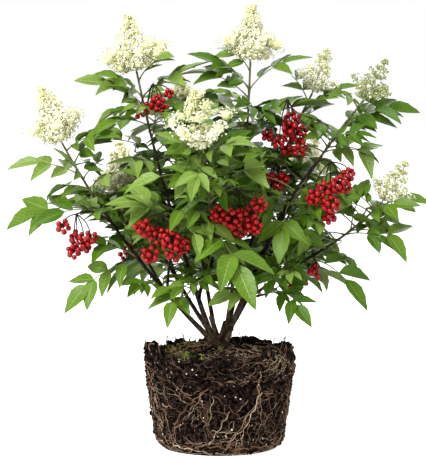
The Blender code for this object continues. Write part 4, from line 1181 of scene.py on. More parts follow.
class Blossom:
    """Pyramids of small white flowers on branching stalks."""

    TIERS = (9, 6)
    PROFILE = ((0.0, 0.40), (0.16, 0.50), (0.24, 0.98), (0.36, 1.06), (0.45, 0.66), (0.60, 0.46), (0.75, 0.33),
               (0.90, 0.19), (1.0, 0.09))
    LOWEST = 0.13
    CLIMB = 0.42
    DENSE_BELOW = 0.45
    BRANCHES = (7, 5)
    LOOSE_BELOW = 0.60
    LOOSE_DOME = 0.82
    PETALS = 5
    FLORET_RADIUS = 0.0030
    FLORETS = 31.0
    HIDDEN_SHARE = 0.38
    PUFF = 0.50
    FLATNESS = 0.80
    BUD_RADIUS = 0.0019
    AXIS_RADIUS = 0.0016
    BRANCH_RADIUS = 0.0009
    RAY_RADIUS = 0.00055

    def __init__(self) -> None:
        """Start with no flowers."""
        self.florets: list[Array] = []
        self.floret_axes: list[Array] = []
        self.buds: list[Array] = []
        self.bud_sizes: list[Array] = []
        self.ripe: list[Array] = []
        self.lines: list[tuple[Array, Array, Array, float, float]] = []
        self.rays: list[tuple[Array, Array, float]] = []

    def grow(self, path: CanePath) -> None:
        """Add a cane's head of blossom.

        Tiers of branches leave the axis, each as long as the pyramid is wide there, and fewer in a
        head that is still in bud. A branch bears
        a dome of flowers at its end and a smaller one half way; a dome's flowers look away from its
        middle, which a ball of packed buds fills.

        Args:
            path: the cane that the head ends.
        """
        bloom = path.cane.bloom
        rng = dice(path.cane.name + " blossom")
        axis = path.bloom_axis()
        turn = standing(axis[None])[0]
        heights, widths = np.array(self.PROFILE).T
        loose = bloom.opened < self.LOOSE_BELOW or bloom.raised > 0.0
        count = self.TIERS[int(loose)]
        tiers = self.LOWEST + (1.0 - self.LOWEST) * (np.arange(count) + 0.3) / count
        tier = np.repeat(tiers, np.where(tiers < self.DENSE_BELOW, *self.BRANCHES))
        tier = tier + rng.uniform(-0.03, 0.03, len(tier))
        bearing = np.arange(len(tier)) * 2.39996 + rng.uniform(-0.25, 0.25, len(tier))
        reach = np.interp(tier - bloom.raised, heights, widths) * bloom.width / 2.0 * rng.uniform(0.74, 1.18, len(tier))
        out = np.stack([np.cos(bearing), np.sin(bearing), np.zeros(len(tier))], -1) @ turn.T
        base = path.tip + axis * (tier[:, None] * bloom.height)
        climbed = np.maximum(tier * bloom.height - self.CLIMB * reach, bloom.height * 0.02)
        start = path.tip + axis * climbed[:, None]
        dome = (reach * 0.30 + 0.0045) * (self.LOOSE_DOME if loose else 1.0)
        end = base + out * (reach - dome * 0.7)[:, None]
        middle = start + out * reach[:, None] * 0.5 + axis * (bloom.height * 0.01)
        ripe = min(1.0, 0.10 + bloom.opened * 1.3)
        self.lines.append((start, middle, end, self.BRANCH_RADIUS, 0.75 * ripe))
        self.lines.append((path.tip[None], (path.tip + axis * bloom.height * 0.5)[None],
                           (path.tip + axis * bloom.height * 0.98)[None], self.AXIS_RADIUS, 0.2))
        half_way = (start + 2.0 * middle + end) / 4.0
        nodes = np.concatenate([end, half_way])
        sizes = np.concatenate([dome, dome * (0.60 if loose else 0.75)])
        ways = unit(np.concatenate([out, out]) + axis * np.repeat([0.7, 1.3], len(out))[:, None])
        levels = np.concatenate([tier, tier])
        many = self.FLORETS * (min(1.0, 0.65 + bloom.opened) if bloom.shown else self.HIDDEN_SHARE)
        each = np.maximum(np.round(many * (sizes / 0.020) ** 1.2), 4).astype(int)
        owner = np.repeat(np.arange(len(nodes)), each)
        spread = unit(unit(rng.normal(size=(len(owner), 3))) + ways[owner] * 0.75)
        flat = spread - axis * (spread @ axis * (1.0 - self.FLATNESS))[:, None]
        spots = nodes[owner] + flat * (sizes[owner] * rng.uniform(0.80, 1.04, len(owner)))[:, None]
        self.rays.append((nodes[owner], spots, ripe))
        opened = (levels[owner] + rng.normal(0.0, 0.11, len(owner))) < bloom.opened
        self.florets.append(spots[opened])
        self.floret_axes.append(unit(spread + ways[owner] * 0.9)[opened])
        closed = spots[~opened]
        self.buds += [closed, nodes]
        self.bud_sizes += [self.BUD_RADIUS * rng.uniform(0.70, 1.20, len(closed)), sizes * self.PUFF * (0.5 + 0.5 * ripe)]
        self.ripe += [rng.uniform(0.45, 1.0, len(closed)) * ripe, rng.uniform(0.52, 0.88, len(nodes)) * ripe]

    def floret_shape(self) -> tuple[Array, list[Array], Array]:
        """Five round petals in one closed disc.

        The rim's radius falls to a notch between petals, and the petals' ends bend back.

        Returns:
            (points, face blocks, tones), with a tone of 0 in the middle and 1 at the rim.
        """
        rim = self.PETALS * 2
        notch = np.arange(rim) % 2 == 0
        turn = np.arange(rim) * 2.0 * np.pi / rim
        radius = np.where(notch, 0.56, 1.0)
        fall = np.where(notch, 0.05, -0.14)
        ring = np.stack([radius * np.cos(turn), radius * np.sin(turn), fall], -1)
        points = np.concatenate([ring, [[0.0, 0.0, 0.20]], [[0.0, 0.0, -0.10]]])
        return points, tube_faces(1, rim, inward=True)[1:], np.concatenate([np.ones(rim), [0.0, 0.6]])

    def petals(self, name: str, spots: Array, axes: Array) -> Meshwork:
        """Flowers at places, each turned by chance about the direction it looks in.

        Args:
            name: name of the piece.
            spots: the flowers' places.
            axes: the directions that they look in.

        Returns:
            The gathered flowers.
        """
        rng = dice(name)
        shape, faces, tones = self.floret_shape()
        count = len(spots)
        spin = rng.uniform(0.0, 2.0 * np.pi, count)
        frames = standing(axes)
        side = frames[:, :, 0] * np.cos(spin)[:, None] + frames[:, :, 1] * np.sin(spin)[:, None]
        turns = np.stack([side, np.cross(axes, side), axes], -1)
        size = self.FLORET_RADIUS * rng.uniform(0.80, 1.12, count)
        return Meshwork(name).add(copies(shape, spots, turns, size), faces, tone=tones)

    def dress(self, palette: Palette) -> list[bpy.types.Object]:
        """Flowers at the front and the back, buds and stalks as four pieces."""
        spots, axes = np.concatenate(self.florets), np.concatenate(self.floret_axes)
        petal = PETAL.build(palette)
        front = spots[:, 1] < np.median(spots[:, 1])
        pieces = [self.petals(name, spots[some], axes[some]).piece([petal], 180.0)
                  for name, some in (("florets_front", front), ("florets_back", ~front))]
        rng = dice("buds")
        shape, faces = ball_shape(3, 5)
        spots = np.concatenate(self.buds)
        size = np.concatenate(self.bud_sizes)[:, None] * rng.uniform(0.82, 1.12, (len(spots), len(shape)))
        points = spots[:, None] + shape[None] * size[..., None]
        tone = np.concatenate(self.ripe)[:, None] * rng.uniform(0.72, 1.12, size.shape)
        pieces.append(Meshwork("buds").add(points, faces, tone=tone).piece([BUD.build(palette)], 180.0))
        stalks = Meshwork("blossom_stalks")
        for start, middle, end, radius, tone in self.lines:
            stalks.add(*sweep(bent(start, middle, end, 4), np.linspace(1.0, 0.65, 4) * radius, 4), tone=tone)
        for start, end, tone in self.rays:
            stalks.add(*spikes(start, end, self.RAY_RADIUS), tone=tone)
        return [*pieces, stalks.piece([BLOOM_STALK.build(palette)])]


class Berries:
    """Hanging clusters of glossy berries on arching stalks."""

    BERRY_RADIUS = 0.0058
    SETTLING = 50
    PACKING = 1.03
    STALK_RADIUS = 0.0019
    RAY_RADIUS = 0.0013
    END_RADIUS = 0.0007
    ARCH = 0.014
    HUB_RISE = 0.62

    def __init__(self) -> None:
        """Start with no berries."""
        self.spots: list[Array] = []
        self.ways: list[Array] = []
        self.lines: list[tuple[Array, Array, Array, float]] = []

    def grow(self, path: CanePath) -> None:
        """Add a cane's clusters.

        Each lobe gets its share of the berries by its surface, laid over its ball by the golden
        angle. They push each other apart and stay in their ball. Rays arch from the stalk's end to
        the lobes, and each berry hangs on its lobe's ray.

        Args:
            path: the cane that bears them.
        """
        for number, fruit in enumerate(path.cane.fruit):
            rng = dice(f"{path.cane.name} fruit {number}")
            start = path.point(fruit.at)
            places, radii = cluster_lobes(path, number)
            hub = cluster_hub(path, fruit)
            crest = (start + hub) / 2.0
            crest[2] = max(start[2], hub[2]) + self.ARCH
            self.lines.append((start[None], crest[None], hub[None], self.STALK_RADIUS))
            each = np.maximum(np.round(fruit.berries * radii**2 / np.sum(radii**2)), 3).astype(int)
            owner = np.repeat(np.arange(len(radii)), each)
            step = np.concatenate([np.arange(count) for count in each])
            level = 1.0 - 2.0 * (step + 0.5) / each[owner]
            turn = step * 2.39996 + owner * 1.3 + rng.uniform(0.0, 6.28)
            flat = np.sqrt(1.0 - level**2)
            way = np.stack([flat * np.cos(turn), flat * np.sin(turn), level], -1)
            room = np.maximum(radii - self.BERRY_RADIUS * 0.7, 0.004)[owner][:, None]
            spots = places[owner] + way * room * rng.uniform(0.75, 1.0, len(owner))[:, None]
            spots = self.settle(spots, places[owner], room)
            self.spots.append(spots)
            lean = (spots - places[owner]) * 0.35 + rng.normal(0.0, 0.003, spots.shape)
            self.ways.append(unit(lean - [0.0, 0.0, 0.012]))
            joints = places + [0.0, 0.0, 0.004]
            hubs = np.broadcast_to(hub, joints.shape)
            rise = (hubs + joints) / 2.0 + (joints - hubs) * [0.42, 0.42, 0.0] + [0.0, 0.0, 0.008]
            self.lines.append((hubs, rise, joints, self.RAY_RADIUS))
            from_joint = joints[owner]
            bow = (from_joint + spots) / 2.0 + [0.0, 0.0, 0.004]
            self.lines.append((from_joint, bow, spots, self.END_RADIUS))

    def settle(self, spots: Array, middles: Array, room: Array) -> Array:
        """Push berries apart until they hardly touch, each kept within the ball of its lobe."""
        least = self.BERRY_RADIUS * 2.0 * self.PACKING
        for _ in range(self.SETTLING):
            gap = spots[:, None] - spots[None]
            far = np.linalg.norm(gap, axis=-1) + np.eye(len(spots))
            push = np.clip(least - far, 0.0, None) * (1.0 - np.eye(len(spots)))
            spots = spots + np.sum(unit(gap) * push[..., None], axis=1) * 0.35
            away = spots - middles
            over = np.maximum(np.linalg.norm(away, axis=-1, keepdims=True) / (room * 1.12), 1.0)
            spots = middles + away / over
        return spots

    def dress(self, palette: Palette) -> list[bpy.types.Object]:
        """Berries and their stalks as two pieces."""
        rng = dice("berries")
        shape, faces = ball_shape(7, 9)
        tip = shape[:, 2] > 0.999
        tones = np.where(tip, 1.0, np.clip((shape[:, 2] - 0.80) / 0.20, 0.0, 0.70))
        shape = shape * np.where(tip, 0.90, 1.0)[:, None] * [1.0, 1.0, 0.97]
        spots, ways = np.concatenate(self.spots), np.concatenate(self.ways)
        size = self.BERRY_RADIUS * rng.uniform(0.86, 1.06, len(spots))
        berries = Meshwork("berries").add(copies(shape, spots, standing(ways), size), faces, tone=tones)
        stalks = Meshwork("berry_stalks")
        for start, middle, end, radius in self.lines:
            rings = 12 if radius > self.RAY_RADIUS else 6
            stalks.add(*sweep(bent(start, middle, end, rings), np.linspace(1.0, 0.8, rings) * radius, 5))
        return [berries.piece([BERRY.build(palette)], 180.0), stalks.piece([FRUIT_STALK.build(palette)])]


class Wood:
    """Canes with bark relief, side shoots, the low root crown and its pruned stubs."""

    RINGS = 80
    SIDES = 10
    RELIEF = 0.07
    NODE_SWELL = 0.16
    FOOT_SWELL = 0.45
    FOOT_SHARE = -0.03
    FORK_TONE = 0.34
    CROWN_FLARE = 0.033
    CROWN_FOOT = 0.1925
    CROWN_HEIGHT = 0.025
    # The crown's tone mixes the canes' brown foot colour with their near-black middle colour: partly the crown's own
    # dark brown, partly painted shade of the shadowed centre where the stems meet.
    CROWN_SHADED_TONE = 0.15
    STUBS = ((215.0, 68.0, 0.058), (300.0, 62.0, 0.050))
    STUB_RADIUS = 0.0050

    def cane_radii(self, path: CanePath, share: Array, line: Array) -> Array:
        """Radii of a cane: its taper, swollen at each leaf and where it starts, with bark relief."""
        radius = path.radius(np.maximum(share, 0.0))
        for leaf in path.cane.leaves:
            radius = radius * (1.0 + self.NODE_SWELL * np.exp(-(((share - leaf.at) / 0.012) ** 2)))
        radius = radius * (1.0 + self.FOOT_SWELL * np.exp(-np.maximum(share, 0.0) / 0.03))
        turn = np.linspace(0.0, 2.0 * np.pi, self.SIDES, endpoint=False)
        spots = np.stack([
            np.cos(turn)[None] * 0.02 + line[:, None, 0],
            np.sin(turn)[None] * 0.02 + line[:, None, 1],
            np.ones(self.SIDES)[None] * line[:, None, 2] * 0.35,
        ], -1)
        return radius[:, None] * (1.0 + self.RELIEF * rough(spots, 160.0, 11))

    def dress(self, paths: dict[str, CanePath], twigs: Twigs, palette: Palette) -> list[bpy.types.Object]:
        """All the wood as one piece, with a tone that runs from 0 at the ground to 1 at the tips."""
        woody = Meshwork("canes")
        for path in paths.values():
            first = 0.0 if path.cane.fork else self.FOOT_SHARE
            share = np.linspace(first, 1.0, self.RINGS)
            line = path.point(share)
            radii = self.cane_radii(path, share, line)
            points, faces = sweep(line[None], radii[None], self.SIDES, np.array([[0.10, 1.0, 0.05]]))
            low = self.FORK_TONE if path.cane.fork else 0.0
            young = path.cane.young
            tone = np.repeat(low + (young - low) * np.maximum(share, 0.0), self.SIDES)
            woody.add(points, faces, tone=np.concatenate([tone, [low, young]]))
        twigs.piece(woody)
        # the crown takes its tone, darkened in part as painted shade
        woody.add(*self.crown(), tone=self.CROWN_SHADED_TONE)
        for bearing, pitch, length in self.STUBS:
            start = np.array([0.0, 0.0, self.CROWN_FOOT + 0.016])
            line = start + heading(bearing, pitch) * np.linspace(0.0, length, 12)[:, None]
            radii = self.STUB_RADIUS * np.linspace(1.1, 0.95, 12)
            woody.add(*sweep(line[None], radii, 12, np.array([[0.0, 1.0, 0.2]])), tone=0.08)
        return [woody.piece([BARK.build(palette)], 70.0)]

    def crown(self) -> tuple[Array, list[Array]]:
        """The crown: a low mound with ridges that run out to the roots.

        The mound's radius at a share t of its height is flare * (1 - t)^0.55, and each ridge adds
        to it near the ground.
        """
        rings, sides = 26, 72
        height = np.linspace(0.0, 0.985, rings)
        turn = np.linspace(0.0, 2.0 * np.pi, sides, endpoint=False)
        lobes = np.cos(turn * 5.0 + 0.6) + 0.6 * np.cos(turn * 3.0 + 2.0)
        radius = self.CROWN_FLARE * (1.0 - height) ** 0.55
        radii = radius[:, None] * (1.0 + 0.18 * (1.0 - height)[:, None] * lobes[None])
        line = np.stack([0 * height, 0 * height, self.CROWN_FOOT + height * self.CROWN_HEIGHT], -1)
        ringed = np.stack([np.cos(turn)[None] * radii, np.sin(turn)[None] * radii,
                           line[:, 2:3] * np.ones((1, sides))], -1)
        radii = radii * (1.0 + 0.20 * rough(ringed, 150.0, 23))
        return sweep(line[None], radii[None], sides, np.array([[1.0, 0.0, 0.0]]))


@dataclass(frozen=True)
class RootRank:
    """Roots of one thickness: number, steps, stride, radii, sides, swing and chances of each tint."""

    count: int
    steps: int
    stride: float
    thick: float
    thin: float
    sides: int
    swing: float
    tints: tuple
    proud: float = 0.0008


class RootBall:
    """The soil that kept its container's shape, laced with roots.

    A place on its skin is given by its bearing and its run, which is how far it lies from the top's
    middle, outward over the top, down the side and in again under the foot.
    """

    FOOT = 0.118
    WAIST = 0.137
    RIM = 0.149
    RIM_HEIGHT = 0.190
    TOP = 0.199
    TOP_RADIUS = 0.045
    AROUND = 380
    ROWS = 140
    UNDER_ROWS = 8
    LUMP = 0.0062
    CRUMB = 0.0023
    CLOD_MIDDLES = (35.0, 70.0, 148.0)
    MAINS = (
        (262.0, 0.050, 140.0), (263.0, 0.052, 50.0), (250.0, 0.084, 118.0), (250.0, 0.086, 64.0),
        (279.0, 0.096, 128.0), (302.0, 0.016, 96.0), (299.0, 0.048, 66.0), (305.0, 0.060, 116.0),
        (309.0, 0.066, 60.0), (301.0, 0.096, 130.0), (197.0, 0.010, 90.0), (199.0, 0.026, 88.0),
        (204.0, 0.044, 84.0), (207.0, 0.060, 78.0), (334.0, 0.014, 92.0), (339.0, 0.030, 95.0),
        (344.0, 0.046, 88.0), (226.0, 0.026, 42.0), (216.0, 0.100, 74.0), (190.0, 0.020, 90.0),
    )
    RANKS = (
        RootRank(36, 38, 0.0034, 0.00084, 0.00038, 6, 0.07, (0.55, 0.33, 0.12)),
        RootRank(110, 22, 0.0030, 0.00058, 0.00028, 5, 0.12, (0.35, 0.35, 0.30)),
        RootRank(200, 15, 0.0028, 0.00036, 0.00020, 3, 0.20, (0.35, 0.35, 0.30)),
        RootRank(300, 11, 0.0026, 0.00026, 0.00017, 3, 0.30, (0.60, 0.30, 0.10)),
    )
    WAVE = 0.42
    THREADS = RootRank(300, 15, 0.0034, 0.00056, 0.00028, 3, 0.16, (0.16, 0.42, 0.42), 0.0016)
    CIRCLING = RootRank(9, 60, 0.0040, 0.00120, 0.00070, 6, 0.05, (0.30, 0.50, 0.20))

    def __init__(self) -> None:
        """Measure the turned outline closely, with the direction in which its skin looks."""
        rim, high = self.RIM, self.RIM_HEIGHT
        corners = np.array([
            (0.0, self.TOP + 0.001), (self.TOP_RADIUS, self.TOP), (rim * 0.60, high + 0.003), (rim * 0.90, high + 0.001),
            (rim * 0.975, high - 0.001), (rim * 0.998, high - 0.009), (rim * 0.985, high * 0.80),
            (self.WAIST, high * 0.42), (self.FOOT * 1.08, 0.020), (self.FOOT * 1.035, 0.006), (self.FOOT * 0.985, 0.0),
            (0.0, 0.0),
        ])
        length = np.concatenate([[0.0], np.cumsum(np.linalg.norm(np.diff(corners, axis=0), axis=1))])
        self.rim_run, self.foot_run, self.end_run = length[4], length[10], length[11]
        self.runs = np.linspace(0.0, self.end_run, 900)
        self.radii = np.interp(self.runs, length, corners[:, 0])
        self.heights = np.interp(self.runs, length, corners[:, 1])
        slope = np.stack([-np.gradient(self.heights), np.gradient(self.radii)], -1)
        box = np.ones(21) / 21.0
        padded = np.pad(slope, ((10, 10), (0, 0)), mode="edge")
        self.slope = unit(np.stack([np.convolve(padded[:, side], box, "valid") for side in (0, 1)], -1))

    def lift(self, spots: Array) -> Array:
        """How far the soil stands out at places: broad lumps, clods and crumbs, none at the foot."""
        clods = np.abs(value_noise(spots, 75.0, 31))
        height = self.LUMP * (0.5 * rough(spots, 26.0, 30, 2) + 0.7 * clods) + self.CRUMB * rough(spots, 280.0, 37, 2)
        return height * np.clip(spots[..., 2] / 0.014, 0.0, 1.0)

    def skin(self, turn: Array, run: Array, proud: Array | float = 0.0) -> Array:
        """Places on the lifted skin.

        Args:
            turn: bearings in radians.
            run: runs from the top's middle.
            proud: how far they stand off the soil.

        Returns:
            The places, none of them below the floor.
        """
        radius, height = np.interp(run, self.runs, self.radii), np.interp(run, self.runs, self.heights)
        flat, up = np.interp(run, self.runs, self.slope[:, 0]), np.interp(run, self.runs, self.slope[:, 1])
        spots = np.stack([radius * np.cos(turn), radius * np.sin(turn), height + 0.0 * turn], -1)
        out = np.stack([flat * np.cos(turn), flat * np.sin(turn), up + 0.0 * turn], -1)
        spots = spots + out * (self.lift(spots) + proud)[..., None]
        spots[..., 2] = np.maximum(spots[..., 2], 0.0)
        return spots

    def soil(self) -> Meshwork:
        """The skin as a grid of bearings and runs, closed at the top's and the underside's middle."""
        side = np.linspace(0.0012, self.foot_run, self.ROWS - self.UNDER_ROWS, endpoint=False)
        under = np.linspace(self.foot_run, self.end_run - 0.004, self.UNDER_ROWS)
        run = np.concatenate([side, under])
        turn = np.linspace(0.0, 2.0 * np.pi, self.AROUND, endpoint=False)
        grid = self.skin(turn[None] * np.ones((len(run), 1)), run[:, None] * np.ones((1, self.AROUND)))
        grid[-self.UNDER_ROWS:, :, 2] = 0.0
        middle = [[0.0, 0.0, grid[0, :, 2].mean()], [0.0, 0.0, 0.0]]
        points = np.concatenate([grid.reshape(-1, 3), middle])
        return Meshwork("soil").add(points[None], tube_faces(self.ROWS, self.AROUND, inward=True))

    def wander(self, rank: RootRank, start: Array, course: Array, rng: np.random.Generator,
               span: tuple[float, float]) -> tuple[Array, Array, Array]:
        """Paths that wander over the skin.

        A path's course is its angle from level, with a right angle as straight down or outward. At
        each step it swings by a random amount that carries on and winds to and fro by a sine, and
        the path moves on by its stride.

        Args:
            rank: the steps, the stride and the swing.
            start: (count, 2) bearings in radians, and runs.
            course: (count,) first courses, in radians.
            rng: random numbers.
            span: least and greatest run, at which a path turns back.

        Returns:
            (bearings, runs, courses), all (count, steps).
        """
        shape = (len(course), rank.steps)
        swings = np.cumsum(rng.normal(0.0, rank.swing, shape), axis=1)
        wave = rng.uniform(0.45, 0.95, (len(course), 1)) * np.arange(rank.steps) + rng.uniform(0.0, 6.28, (len(course), 1))
        angle = course[:, None] + 0.75 * swings - 0.35 * np.roll(swings, 3, axis=1) + self.WAVE * np.sin(wave)
        run = start[:, 1:] + np.cumsum(np.sin(angle) * rank.stride, axis=1)
        low, high = span
        folded = np.abs((run - low) % (2.0 * (high - low)))
        run = low + np.minimum(folded, 2.0 * (high - low) - folded)
        radius = np.maximum(np.interp(run, self.runs, self.radii), 0.03)
        turn = start[:, :1] + np.cumsum(np.cos(angle) * rank.stride / radius, axis=1)
        return turn, run, angle

    def thread(self, work: Meshwork, rank: RootRank, turn: Array, run: Array, rng: np.random.Generator) -> None:
        """Sweep a rank's roots along their paths, now deeper in the soil and now proud of it."""
        count = len(turn)
        share = np.linspace(0.0, 1.0, rank.steps)[None]
        bob = value_noise(np.stack([turn * 9.0, run * 60.0, 0.0 * turn], -1), 1.0, 71)
        paths = self.skin(turn, run, rank.proud * (0.5 + 1.1 * bob))
        paths[..., 2] = np.maximum(paths[..., 2], rank.thick + 0.0003)
        radii = (rank.thick + (rank.thin - rank.thick) * share) * rng.uniform(0.6, 1.25, (count, 1))
        radii = np.maximum(radii * (1.0 + 0.08 * rng.normal(size=radii.shape)), rank.thin * 0.5)
        middle = paths[:, rank.steps // 2]
        hints = unit(middle - [0.0, 0.0, 0.10]) + rng.normal(0.0, 0.02, (count, 3))
        points, faces = sweep(paths, radii, rank.sides, hints)
        work.add(points, faces, rng.choice(3, count, p=rank.tints))

    def roots(self) -> Meshwork:
        """Woody, middling, fine and hair roots, each rank forking off the one before it."""
        work = Meshwork("roots")
        rng = dice("roots")
        span = (self.rim_run + 0.002, self.foot_run - 0.004)
        shown = np.array(self.MAINS)
        extra = self.RANKS[0].count - len(shown)
        start = np.concatenate([
            np.stack([np.radians(shown[:, 0]), self.rim_run + shown[:, 1]], -1),
            np.stack([rng.uniform(-0.2, np.pi + 0.2, extra), self.rim_run + rng.uniform(0.01, 0.09, extra)], -1),
        ])
        course = np.concatenate([np.radians(shown[:, 2]), rng.normal(math.pi / 2.0, 0.45, extra)])
        for rank in self.RANKS:
            turn, run, angle = self.wander(rank, start, course, rng, span)
            self.thread(work, rank, turn, run, rng)
            following = self.RANKS.index(rank) + 1
            if following == len(self.RANKS):
                break
            count = self.RANKS[following].count
            which, where = rng.integers(0, len(turn), count), rng.integers(2, rank.steps - 2, count)
            start = np.stack([turn[which, where], run[which, where]], -1)
            hand = rng.choice([-1.0, 1.0], count)
            course = angle[which, where] + hand * rng.uniform(0.35, 1.0, count)
        self.over_top(work, rng)
        self.loose(work, rng)
        self.surface(work, rng)
        return work

    def over_top(self, work: Meshwork, rng: np.random.Generator) -> None:
        """Add pale threads over the top, most at the right, and roots that circle the foot."""
        rank = self.THREADS
        swath = rng.uniform(size=rank.count) < 0.5
        bearing = np.where(swath, rng.normal(math.radians(322.0), 0.45, rank.count), rng.uniform(0.0, 6.28, rank.count))
        run = np.where(swath, rng.uniform(0.07, 0.150, rank.count), rng.uniform(0.05, 0.145, rank.count))
        course = rng.choice([0.25, math.pi - 0.25], rank.count) + rng.normal(0.0, 0.35, rank.count)
        run[-50:] = self.rim_run + rng.uniform(0.002, 0.040, 50)
        turn, run, _ = self.wander(rank, np.stack([bearing, run], -1), course, rng, (0.04, self.rim_run + 0.044))
        self.thread(work, rank, turn, run, rng)
        rank = self.CIRCLING
        start = np.stack([rng.uniform(0.0, 6.28, rank.count), self.foot_run - rng.uniform(0.006, 0.026, rank.count)], -1)
        turn, run, _ = self.wander(rank, start, rng.choice([0.0, math.pi], rank.count), rng,
                                   (self.foot_run - 0.034, self.foot_run - 0.004))
        self.thread(work, rank, turn, run, rng)

    def loose(self, work: Meshwork, rng: np.random.Generator) -> None:
        """Add hair roots that stand out of the side and the rim."""
        count, rings = 230, 7
        turn = rng.uniform(0.0, 2.0 * np.pi, count)
        run = self.rim_run + rng.uniform(-0.01, 0.185, count) * rng.uniform(0.2, 1.0, count)
        run[:70] = self.rim_run - rng.uniform(0.0, 0.020, 70)
        start = self.skin(turn, run, -0.002)
        out = np.stack([np.cos(turn), np.sin(turn), 0.0 * turn], -1)
        swerve = np.stack([-np.sin(turn), np.cos(turn), 0.0 * turn], -1) * rng.normal(0.0, 0.014, count)[:, None]
        rising = run < self.rim_run + 0.003
        lift = np.where(rising, rng.uniform(0.010, 0.030, count), rng.uniform(-0.012, 0.010, count))
        drop = np.stack([0.0 * turn, 0.0 * turn, lift], -1)
        end = start + out * (rng.uniform(0.003, 0.014, count) * np.where(rising, 0.5, 1.0))[:, None] + swerve + drop
        end[:, 2] = np.maximum(end[:, 2], 0.002)
        middle = (start + end) / 2.0 + out * 0.005 + swerve * rng.uniform(-1.6, 0.2, (count, 1)) + drop * 0.45
        paths = bent(start, middle, end, rings)
        radii = np.linspace(0.00062, 0.00034, rings)[None] * np.where(rising, 1.5, 1.0)[:, None] * rng.uniform(0.7, 1.15, (count, 1))
        work.add(*sweep(paths, radii, 4), rng.choice(4, count, p=(0.25, 0.08, 0.02, 0.65)))

    def surface(self, work: Meshwork, rng: np.random.Generator) -> None:
        """Add roots that run from the crown over the top of the soil, the thickest to the left."""
        count, rings = 15, 40
        bearing = np.concatenate([np.radians([198.0, 216.0]), np.linspace(0.3, 6.1, count - 2)])
        reach = np.concatenate([[0.112, 0.085], rng.uniform(0.05, 0.12, count - 2)])
        share = np.linspace(0.0, 1.0, rings)[None]
        swerve = np.cumsum(rng.normal(0.0, 0.035, (count, rings)), axis=1)
        run = 0.020 + (reach[:, None] - 0.020) * share
        spots = self.skin(bearing[:, None] + swerve * share, run, 0.0006)
        thick = rng.uniform(0.0010, 0.0020, count)[:, None]
        thick[:2] = [[0.0036], [0.0024]]
        radii = thick * (1.0 - 0.72 * share) * (1.0 + 0.06 * rng.normal(size=(count, rings)))
        tints = np.where(np.arange(count) < 2, RootTint.RUSSET.value, rng.choice(2, count))
        work.add(*sweep(spots, radii, 9, np.tile([[0.0, 0.0, 1.0]], (count, 1))), tints)

    def lumps(self, name: str, run: Array, sizes: tuple[float, float], shape: tuple, rarity: float = 2.4,
              middles: tuple = ()) -> Meshwork:
        """Small irregular lumps at random bearings.

        Args:
            name: name of the piece.
            run: the lumps' runs.
            sizes: least and greatest radius.
            shape: (points, face blocks) of one lump.
            rarity: how much rarer the great ones are than the small ones.
            middles: bearings round which the last half of them gather.

        Returns:
            The gathered lumps.
        """
        rng = dice(name)
        points, faces = shape
        count = len(run)
        bearing = rng.uniform(0.0, 2.0 * np.pi, count)
        if middles:
            bearing[count // 2:] = np.radians(rng.choice(middles, count - count // 2)) + rng.normal(0.0, 0.20, count - count // 2)
        spots = self.skin(bearing, run)
        size = rng.uniform(0.0, 1.0, count) ** rarity * (sizes[1] - sizes[0]) + sizes[0]
        stretch = rng.uniform(0.65, 1.25, (count, 1, 3))
        jitter = 1.0 + rng.normal(0.0, 0.13, (count, len(points), 1))
        lumps = spots[:, None] + points[None] * stretch * jitter * size[:, None, None]
        lumps[..., 2] = np.maximum(lumps[..., 2], 0.0005)
        return Meshwork(name).add(lumps, faces)

    def moss(self) -> Meshwork:
        """Tufts of short blades in patches on the top."""
        rng = dice("moss")
        patches = np.array([[-0.060, 0.040, 0.040], [-0.100, -0.010, 0.030], [-0.070, -0.075, 0.026],
                            [-0.036, -0.120, 0.016], [-0.030, 0.095, 0.026], [0.005, -0.045, 0.012]])
        which = rng.choice(len(patches), 2300, p=[0.34, 0.24, 0.18, 0.06, 0.13, 0.05])
        flat = patches[which, :2] + rng.normal(0.0, 0.5, (len(which), 2)) * patches[which, 2:3]
        radius = np.linalg.norm(flat, axis=1)
        kept = (radius < self.RIM * 0.99) & (radius > 0.022)
        spots = self.skin(np.arctan2(flat[kept, 1], flat[kept, 0]), radius[kept], -0.0006)
        way = unit(rng.normal(size=spots.shape) + [0.0, 0.0, 1.1]) * rng.uniform(0.0018, 0.0046, (len(spots), 1))
        paths = bent(spots, spots + way * 0.6, spots + way, 3)
        return Meshwork("moss").add(*sweep(paths, np.array([0.0008, 0.0007, 0.0003]), 3))

